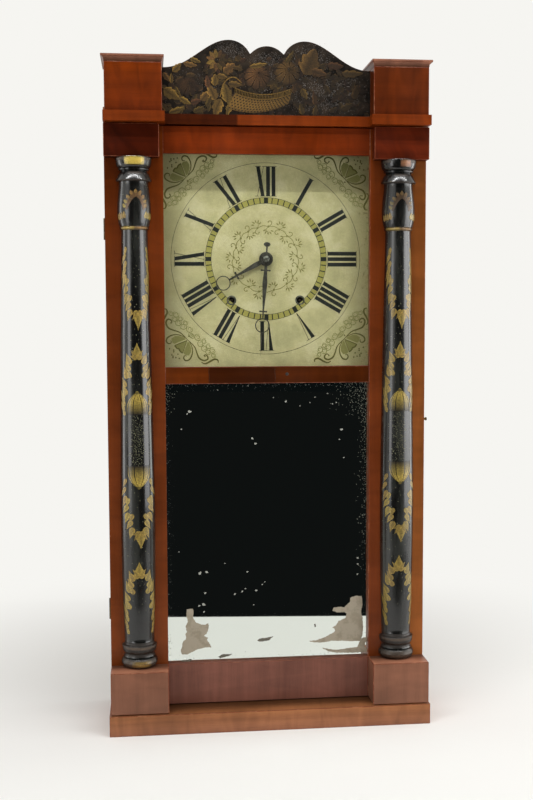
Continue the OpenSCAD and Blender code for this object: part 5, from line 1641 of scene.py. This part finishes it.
@dataclass
class Dial:
    """The painted wooden dial: chapter ring, Roman hours, wreath and corner scrolls."""

    centre: Pair = (0.6, 598.2)
    face_y: float = -7.5
    track: Pair = (70.8, 78.0)
    hours: Pair = (79.8, 117.2)
    bar: float = 4.9
    serif: float = 0.6
    outer: float = 121.6
    corner: Pair = (-101.3, 700.8)
    holes: tuple[Pair, ...] = ((44.3, 545.6), (-44.3, 545.6))
    curl: tuple[Pair, ...] = ((0, 0), (-3, 3.4), (-6.2, 3.6), (-7.4, 1), (-5.8, -0.6))
    knots: tuple[Pair, ...] = ((-11.1, 39.3), (3.1, 41.4), (17.1, 37.6), (27.1, 29.3), (36.4, 18.3),
        (39.7, 4), (40.4, -9.6), (34.3, -21.7), (26.6, -31.3), (9.9, -39.3), (-9.3, -41.4),
        (-22.4, -35.4), (-36.5, -24), (-42.1, -10.1), (-41.7, 2), (-38.6, 14.3), (-32.6, 26.1),
        (-22.9, 34.7))

    def build(self) -> None:
        """Dresses the board and paints it."""
        dress("dial", DialPaint().material(Box.of("dial")))
        self.ink = Ink("dial_black", "#151615", "#8f8a63", 0.64).material()
        self.olive = Ink("dial_olive", "#a3984f", "#b0a877", 0.62).material()
        self.scroll = Ink("dial_scroll_olive", "#645b23", "#948d58", 0.64).material()
        self.rings()
        self.numerals()
        self.wreath()
        self.corners()
        self.ferrules()

    def coat(self, name: str, paint: Paint, lift: float, finish: Material) -> None:
        """Lays a drawing on the dial, this many millimetres proud of it."""
        place = flat_at(self.centre[0] * MM, (self.face_y - lift) * MM, self.centre[1] * MM)
        lay(name, paint, place, Body.CASE, Slot.DIAL, finish)

    def ring(self, paint: Paint, inner: float, outer: float) -> None:
        """Adds a flat ring."""
        rows = []
        for k in range(181):
            a = 2 * pi * k / 180
            rows.append([(r * sin(a), r * cos(a)) for r in (inner, outer)])
        paint.grid(rows, [[1, 1]] * len(rows))

    def rings(self) -> None:
        """Paints the minute track with its marks and the thin circles."""
        track, lines = Paint(), Paint()
        inner, outer = self.track
        self.ring(track, inner, outer)
        self.coat("dial_minute_track", track, 0.05, self.olive)
        for radius in (inner - 0.35, outer - 0.1, self.outer):
            self.ring(lines, radius, radius + 0.5)
        self.coat("dial_circles", lines, 0.09, Ink("dial_thin_black", "#2b2a20", "#8f8a63",
            0.6).material())
        middle = (self.centre[0] * MM, (self.face_y - 0.05) * MM, self.centre[1] * MM)
        reach = (inner + outer) / 2 * MM
        tree = ring_of_marks(self.ink)
        for name, count, mark in (("dial_minute_ticks", 60, (6.8, 1.2, 0.14)),
                ("dial_five_minute_squares", 12, (7.1, 5.3, 0.2))):
            mesh = cook(tree, {"Count": count, "Radius": reach, "Mark": tuple(m * MM for m in mark),
                "Centre": middle})
            piece(name, mesh, Body.CASE, Slot.DIAL)

    def numerals(self) -> None:
        """Paints the twelve Roman hours, their feet towards the centre."""
        names = ("I", "II", "III", "IIII", "V", "VI", "VII", "VIII", "IX", "X", "XI", "XII")
        wide = {"I": 7.0, "V": 11.0, "X": 12.4}
        paint = Paint()
        for hour, name in enumerate(names, 1):
            across = -sum(wide[c] for c in name) / 2
            for letter in name:
                for outline in self.letter(letter, across + wide[letter] / 2):
                    paint.shape([self.turned(hour, t, r) for t, r in outline])
                across += wide[letter]
        self.coat("dial_numerals", paint, 0.1, self.ink)

    def turned(self, hour: int, across: float, out: float) -> Pair:
        """Turns a point of an hour's drawing to its place on the dial."""
        a = radians(30 * hour)
        return (out * sin(a) + across * cos(a), out * cos(a) - across * sin(a))

    def letter(self, letter: str, at: float) -> list[list[Pair]]:
        """Gives the outlines of one letter.

        Args:
            letter: I, V or X.
            at: The letter's middle across.

        Returns:
            Outlines as (across, distance from the dial's centre).
        """
        low, high = self.hours
        half, thin = self.bar / 2, self.serif

        def slab(t0: float, t1: float, wide0: float, wide1: float) -> list[Pair]:
            """A stroke from the outer end to the inner end."""
            return [(t0 - wide0, high), (t0 + wide0, high), (t1 + wide1, low), (t1 - wide1, low)]

        def serif(t: float, r: float, reach: float = 3.4) -> list[Pair]:
            """A hairline across the end of a stroke."""
            return [(t - reach - half, r - thin / 2), (t + reach + half, r - thin / 2),
                (t + reach + half, r + thin / 2), (t - reach - half, r + thin / 2)]

        if letter == "I":
            return [slab(at, at, half, half), serif(at, high, 1.5), serif(at, low, 1.5)]
        if letter == "V":
            return [slab(at - 2.6, at + 0.6, half, 0.3), slab(at + 4.2, at + 0.9, 0.3, 0.3),
                serif(at - 2.6, high, 1.4), serif(at + 4.2, high, 0)]
        return [slab(at - 3.2, at + 2.9, half * 0.95, half * 0.95), slab(at + 4.0, at - 4.0, 0.3, 0.3),
            serif(at - 3.2, high, 1.2), serif(at + 2.9, low, 1.2), serif(at + 4.6, high, 0),
            serif(at - 4.4, low, 0)]

    def wreath(self) -> None:
        """Paints a ring of curling sprigs, each a fan of drops on a knot, round the centre."""
        paint = Paint()
        for i, (x, z) in enumerate(self.knots):
            ahead = self.knots[(i + 1) % len(self.knots)]
            out = degrees(atan2(z, x)) + (0 if i % 2 == 0 else 180)
            middle = ((x + ahead[0]) / 2 * 1.05, (z + ahead[1]) / 2 * 1.05)
            paint.stroke([(x, z), middle, ahead], 1.0, 0.5, 6)
            paint.dot((x - 1.5, z), 3, 3, 4)
            turn = radians(out)
            heart = swung((x, z), turn, 3.2, 0)
            arc = []
            for k in range(5):
                angle = out - 70 + 34 * k
                arc.append(swung(heart, radians(angle), 3.4, 0))
                paint.leaf(arc[-1], angle, 4.2 + 0.6 * (k % 2), 1.7, 1, 1, 0, 0, 0.15, 3)
            paint.stroke([(x, z), arc[0], arc[1], arc[2]], 0.9, 0.5, 3)
            curl = [swung((x, z), turn, u, v) for u, v in self.curl]
            paint.stroke(curl, 1.1, 0.5, 4)
            paint.dot((curl[-1][0] - 1, curl[-1][1]), 2, 2)
        finish = Ink("dial_wreath_olive", "#817940", "#a69e6c", 0.64)
        self.coat("dial_wreath", paint, 0.06, finish.material())

    def corners(self) -> None:
        """Paints a scroll of leaves and a shield in each corner."""
        strokes, shields, hatch = Paint(), Paint(), Paint()
        for flip_x in (1, -1):
            for flip_z in (1, -1):
                self.corner_scroll(strokes, shields, hatch, flip_x, flip_z)
        self.coat("dial_corner_hatching", hatch, 0.0303,
            Ink("dial_hatch_grey_olive", "#858049", "#a09a66", 0.66).material())
        self.coat("dial_corner_shields", shields, 0.05, Ink("dial_shield_olive", "#8f8850", "#a09a6a",
            0.6).material())
        self.coat("dial_corner_scrolls", strokes, 0.09, self.scroll)

    def corner_scroll(self, strokes: Paint, shields: Paint, hatch: Paint, flip_x: int,
            flip_z: int) -> None:
        """Paints one corner.

        Args:
            strokes: Gets the dark scrolls.
            shields: Gets the pale shapes.
            hatch: Gets the thin scribbled leaves behind the scrolls.
            flip_x: 1 for the left corners and -1 for the right ones.
            flip_z: 1 for the upper corners and -1 for the lower ones.
        """
        arms = (((0, 0), (8.8, 8.9), (12.3, 18.2), (15.2, 24.1), (21, 27), (25.7, 25.3), (25.7, 21.7),
            (22.8, 19.6), (20.6, 21.2)), ((17.6, 29), (22, 31), (26.9, 29.4), (33.9, 25.6), (38.6, 26.4),
            (39.4, 30)), ((2.5, 2.5), (6.2, 11.2), (5.8, 19.4), (2.3, 25.6), (-2.3, 26.8), (-4.9, 24),
            (-3.9, 20.8), (-0.9, 21.2)))
        shield = ((-0.4, 1), (-16.4, 7.4), (-13.2, 11.6), (-11.2, 11.2), (-9.4, 15), (-6.2, 17.2))
        dots = ((-21, 19.4), (-15.9, 22.9), (-11.5, 24), (-18.5, 15.4), (-13.2, 18.5), (-19.6, 22.9))
        loops = ((5, -6.5, 3.4), (13.5, -3, 4.2), (17.5, 5, 4.4), (22, 2, 3.2), (22, 11, 4.2),
            (27.4, 8.4, 3.2), (27, 15.6, 3.8), (32.6, 14, 3.8), (34, 20.4, 3.2))
        left = self.corner[0] - self.centre[0]
        rise = self.corner[1] - self.centre[1]

        def spot(x: float, z: float) -> Pair:
            """Moves a point of the upper left corner to this corner."""
            return ((left + x) * flip_x, (rise + z) * flip_z)

        for twin in (False, True):
            def at(p: Pair, twin: bool = twin) -> Pair:
                """Mirrors a point about the corner's diagonal for the second half."""
                return spot(-p[1], -p[0]) if twin else spot(*p)

            for arm, width in zip(arms, (2.2, 2.4, 1.9)):
                strokes.stroke([at(p) for p in arm], width, 0.4, 5)
            strokes.dot(at((21.4, 21.6)), 2, 2)
            for x, z in dots[::2] if twin else dots:
                strokes.dot(at((x, z)), 2, 2.2)
            shields.shape([at(p) for p in ((0.5, 2), (-5.4, 17), (-3.2, 19.6), (1.6, 20.4), (4.6, 16),
                (4.9, 11), (2.4, 4))])
            for x, z, size in loops:
                for share, start in ((1.0, 20), (0.5, 200)):
                    hatch.stroke([at(swung((x, z), radians(start + 55 * k), share * size, 0))
                        for k in range(6)], 1.0, 0.5, 3)
        shields.shape([spot(x, z) for x, z in shield])
        strokes.stroke([spot(x, z) for x, z in shield[:2]], 1.2, 0.8, 4)
        strokes.stroke([spot(x, z) for x, z in (shield[0], shield[-1])], 0.8, 0.8, 4)
        for a, b in zip(shield[1:], shield[2:]):
            strokes.stroke([spot(*a), spot(*b)], 1.9, 0.8, 3)
        strokes.dot(spot(0.9, -4.4), 2.2, 2.2)

    def ferrules(self) -> None:
        """Sets brass rings in the two winding holes, over the drums' squared ends; the bores and the drums'
        collars are near-black, painted shade down the holes.
        """
        ring = ((4.3, -0.4), (5.0, -0.9), (5.9, -0.6), (6.3, 0.1), (4.85, 0.3), (4.3, 0.3), (4.3, -0.4))
        bore = ((4.3, 0.2), (4.85, 0.2), (4.85, 6.8), (4.3, 6.8), (4.3, 0.2))
        square = ((0, -1.4), (1.3, -1.4), (1.6, -1.1), (1.6, 0), (0, 0))
        collar = ((0, -0.2), (3.9, -0.2), (3.9, 0.6), (0, 0.6))
        # Painted shade: near-black wood stands for the shade down each winding hole.
        dark_tone = PlainWood("bore_painted_shade", "#0c0b0a", "#080707", "#060505").material()
        shade = Metal("winding_square_iron", "#4a3228", "#1c1512", 0.6, 3, 0.2).material()
        metal = Metal("dulled_ferrule_metal", "#77746a", "#34312b", 0.4, 3, 0.7).material()
        for node, body in (("time_drum", Body.TIME_DRUM), ("strike_drum", Body.STRIKE_DRUM)):
            drum = Box.of(node)
            end = Vector((drum.centre.x, drum.low.y - 0.05 * MM, drum.centre.z))
            for name, outline, steps, finish in ((f"{node}_winding_end", square, 20, shade),
                    (f"{node}_winding_collar", collar, 24, dark_tone)):
                piece(name, lathe(name, outline, end, steps), body, Slot.IRON, finish)
        for i, (x, z) in enumerate(self.holes, 1):
            at = Vector((x * MM, self.face_y * MM, z * MM))
            for name, outline, slot, finish in ((f"winding_ferrule_{i}", ring, Slot.BRASS, metal),
                    (f"winding_ferrule_{i}_bore", bore, Slot.IRON, dark_tone)):
                piece(name, lathe(name, outline, at), Body.CASE, slot, finish)


@dataclass
class Movement:
    """The wooden thirty-hour movement, its hands, pendulum and bell."""

    cherry: tuple[str, ...] = ("movement_front_plate", "movement_back_plate", "centre_wheel",
        "hour_wheel", "minute_wheel", "time_great_wheel", "third_wheel", "time_drum", "strike_drum",
        "strike_great_wheel", "pin_wheel", "movement_pillars", "fly", "time_pulley", "strike_pulley")
    brass: tuple[str, ...] = ("escape_wheel", "pendulum_bob")
    steel: tuple[str, ...] = ("verge", "pendulum_rod", "hammer")

    def build(self) -> None:
        """Dresses the movement and caps the hands' arbor."""
        bell = Metal("bell_metal", "#a58a52", "#5c4c30", 0.3).material()
        lacquer = Metal("hand_black_lacquer", "#322e29", "#55504a", 0.34, metallic=0.3).material()
        grey = Metal("collar_grey_steel", "#84827c", "#3a3834", 0.4, 2, 0.6).material()
        for nodes, finish in ((self.cherry, CHERRY), (self.brass, BRASS), (self.steel, STEEL),
                (("bell",), bell), (("minute_hand", "hour_hand"), lacquer)):
            for node in nodes:
                dress(node, finish, Edge.TURNED)
        collar = ((0, -0.7), (2.0, -0.7), (2.4, -0.3), (3.9, -0.2), (4.1, 1.4), (0, 1.4))
        end = Vector((0, Box.of("centre_wheel").low.y, 598 * MM))
        piece("hand_collar", lathe("hand_collar", collar, end), Body.MINUTE, Slot.IRON, grey)


@dataclass
class Weights:
    """The two cast-iron weights, their cords and the cords' hanging stretches."""

    travel: float = 480.0

    def build(self) -> None:
        """Dresses the weights and lays the cords."""
        for which, body in (("time", Body.TIME_WEIGHT), ("strike", Body.STRIKE_WEIGHT)):
            dress(f"{which}_weight", IRON, Edge.TURNED)
            dress(f"{which}_cord", CORD, Edge.TURNED)
            node = f"{which}_cord_drop"
            drop = Box.of(node)
            centre, radius = drop.centre, drop.size.x / 2
            rise = [Vector((centre.x, centre.y, drop.low.z + drop.size.z * i / 24)) for i in range(25)]
            made = piece(f"{which}_cord_hanging", tube(node, rise, radius), Body.CASE, Slot.CORD, CORD)
            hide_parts(node)
            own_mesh(made)
            log.info("%s hangs over %s", made.name, body.value)


# ---------- studio ----------


@dataclass
class Studio:
    """The pale floor, the lights and the camera."""

    camera_at: Triple = (-0.15138, -1.42065, 0.52961)
    yaw: float = 6.13
    pitch: float = -4.541
    roll: float = -0.21
    lens: float = 49.465
    floor_radius: float = 6.0
    table_edge: Pair = (-0.5108, 0.0965)
    ambient: float = 0.42
    dark_sector: float = 38.0
    dark_towards: float = 8.0
    dark_edge: float = 5.0
    backdrop: str = "#f6f5f1"

    def build(self) -> None:
        """Sets up the floor, the world, the lights and the camera."""
        self.floor()
        self.world()
        for name, where, aim, size, watts in (("window_strip", (0, -0.8255, 2.066), (0, -0.0255, 0.68),
                (2.6, 0.03), 26), ("left_soft_light", self.around(-54, 1.6, 0.42), (-0.05, -0.03, 0.42),
                (0.55, 1.2), 6.3), ("right_soft_light", self.around(66, 1.6, 0.42), (0.05, -0.03, 0.42),
                (1.2, 1.1), 17), ("right_edge_light", self.around(100, 1.5, 0.45), (0.1, 0, 0.45),
                (0.3, 1.2), 5), ("left_edge_light", self.around(-100, 1.5, 0.45), (-0.1, 0, 0.45),
                (0.3, 1.2), 3)):
            self.lamp(name, where, aim, size, watts)
        self.camera()
        bpy.context.scene.view_settings.view_transform = "Standard"

    def around(self, azimuth: float, distance: float, z: float) -> Triple:
        """Gives a place round the clock, at an angle from straight in front."""
        a = radians(azimuth)
        return distance * sin(a), -distance * cos(a), z

    def lamp(self, name: str, where: Sequence[float], aim: Sequence[float], size: Pair,
            watts: float) -> None:
        """Adds an area light.

        Args:
            name: Its name.
            where: Its place.
            aim: The point that it faces.
            size: Its width and height.
            watts: Its power.
        """
        data = bpy.data.lights.new(name, "AREA")
        data.shape = "RECTANGLE"
        data.size, data.size_y = size
        data.energy = watts
        lamp = stand(name, data)
        lamp.location = where
        lamp.visible_camera = False
        lamp.rotation_euler = (Vector(aim) - Vector(where)).to_track_quat("-Z", "Y").to_euler()

    def seen_rays(self, tree: Tree) -> Socket:
        """Gives 1 for rays that show the background: camera, glossy and transmission."""
        return fold(tree, "MAXIMUM",
            *(add(tree, "LightPath", out=f"Is {kind} Ray") for kind in ("Camera", "Glossy",
            "Transmission")))

    def dark_room(self, tree: Tree, place: Socket) -> Socket:
        """Gives the vague dark tones that the looking glass faces."""
        cloud = add(tree, "TexNoise", {"Vector": place, "Scale": 3.0, "Detail": 1.0})
        return add(tree, "ValToRGB", {"Fac": cloud}, out="Color",
            stops=[(0.36, "#0c1011"), (0.52, "#131515"), (0.66, "#22211d")])

    def floor(self) -> None:
        """Lays a pale floor that melts into the background with distance."""
        work = bmesh.new()
        bmesh.ops.create_circle(work, cap_ends=True, segments=96, radius=self.floor_radius)
        mesh = bpy.data.meshes.new("studio_floor")
        work.to_mesh(mesh)
        work.free()
        made = stand("studio_floor", mesh)
        material, tree = new_material("pale_studio_floor")
        place = add(tree, "TexCoord", out="Object")
        away = add(tree, "VectorMath", [place], out="Value", operation="LENGTH")
        far = add(tree, "MapRange", [away, 0.2, 0.85], interpolation_type="SMOOTHSTEP")
        show = fold(tree, "MULTIPLY", far, self.seen_rays(tree))
        paper = add(tree, "BsdfDiffuse", {"Color": "#efeeeb"})
        glow = add(tree, "Emission", {"Color": self.backdrop, "Strength": 1.0})
        mixed = add(tree, "MixShader", [show, paper, glow])
        room = add(tree, "Emission", {"Color": "#121414"})
        split = add(tree, "MixShader", [self.past_edge(tree, place), mixed, room])
        add(tree, "OutputMaterial", {"Surface": split})
        mesh.materials.append(material)

    def past_edge(self, tree: Tree, place: Socket) -> Socket:
        """Gives 1 where a reflection looks past the front edge of the pale table."""
        start, slope = self.table_edge
        split = add(tree, "VectorMath", [place, (slope, -1, 0)], out="Value", operation="DOT_PRODUCT")
        past = fold(tree, "GREATER_THAN", split, -start)
        glossy = add(tree, "LightPath", out="Is Glossy Ray")
        return fold(tree, "MULTIPLY", past, glossy)

    def world(self) -> None:
        """Gives soft even light, and the pale background to the camera and to reflections."""
        world = bpy.data.worlds.new("studio_world")
        world.use_nodes = True
        tree = world.node_tree
        tree.nodes.clear()
        soft = add(tree, "Background", {"Color": "#fbfaf6", "Strength": self.ambient})
        way = add(tree, "TexCoord", out="Generated")
        level = add(tree, "VectorMath", [way, (1, 1, 0)], operation="MULTIPLY")
        plan = add(tree, "VectorMath", [level], operation="NORMALIZE")
        aim = radians(self.dark_towards)
        facing = add(tree, "VectorMath", [plan, (sin(aim), -cos(aim), 0)], out="Value",
            operation="DOT_PRODUCT")
        front = add(tree, "MapRange", [facing, cos(radians(self.dark_sector + self.dark_edge)),
            cos(radians(self.dark_sector))])
        glossy = add(tree, "LightPath", out="Is Glossy Ray")
        dark = fold(tree, "MULTIPLY", front, glossy)
        colour = add(tree, "Mix", {0: dark, 6: self.backdrop, 7: self.dark_room(tree, way)}, out=2,
            data_type="RGBA")
        shown = add(tree, "Background", {"Color": colour, "Strength": 1.0})
        mixed = add(tree, "MixShader", [self.seen_rays(tree), soft, shown])
        add(tree, "OutputWorld", {"Surface": mixed})
        bpy.context.scene.world = world

    def camera(self) -> None:
        """Stands the camera where the photograph was taken."""
        yaw, pitch, roll = (radians(a) for a in (self.yaw, self.pitch, self.roll))
        ahead = Vector((sin(yaw) * cos(pitch), cos(yaw) * cos(pitch), sin(pitch)))
        right = Vector((cos(yaw), -sin(yaw), 0))
        up = right.cross(ahead)
        across = right * cos(roll) + up * sin(roll)
        above = up * cos(roll) - right * sin(roll)
        data = bpy.data.cameras.new("camera")
        data.sensor_width, data.lens, data.clip_start = 36, self.lens, 0.05
        made = stand("camera", data)
        turn = Matrix((across, above, -ahead)).transposed().to_4x4()
        made.matrix_world = Matrix.Translation(self.camera_at) @ turn
        bpy.context.scene.camera = made


def main() -> None:
    """Builds the clock's looks in order, then the studio."""
    logging.basicConfig(level=logging.INFO, format="%(name)s: %(message)s")
    for part in (Case(), Cornice(), Door(), Dial(), Movement(), Weights(), Studio()):
        log.info("building %s", type(part).__name__)
        part.build()


if __name__ == "__main__":
    main()
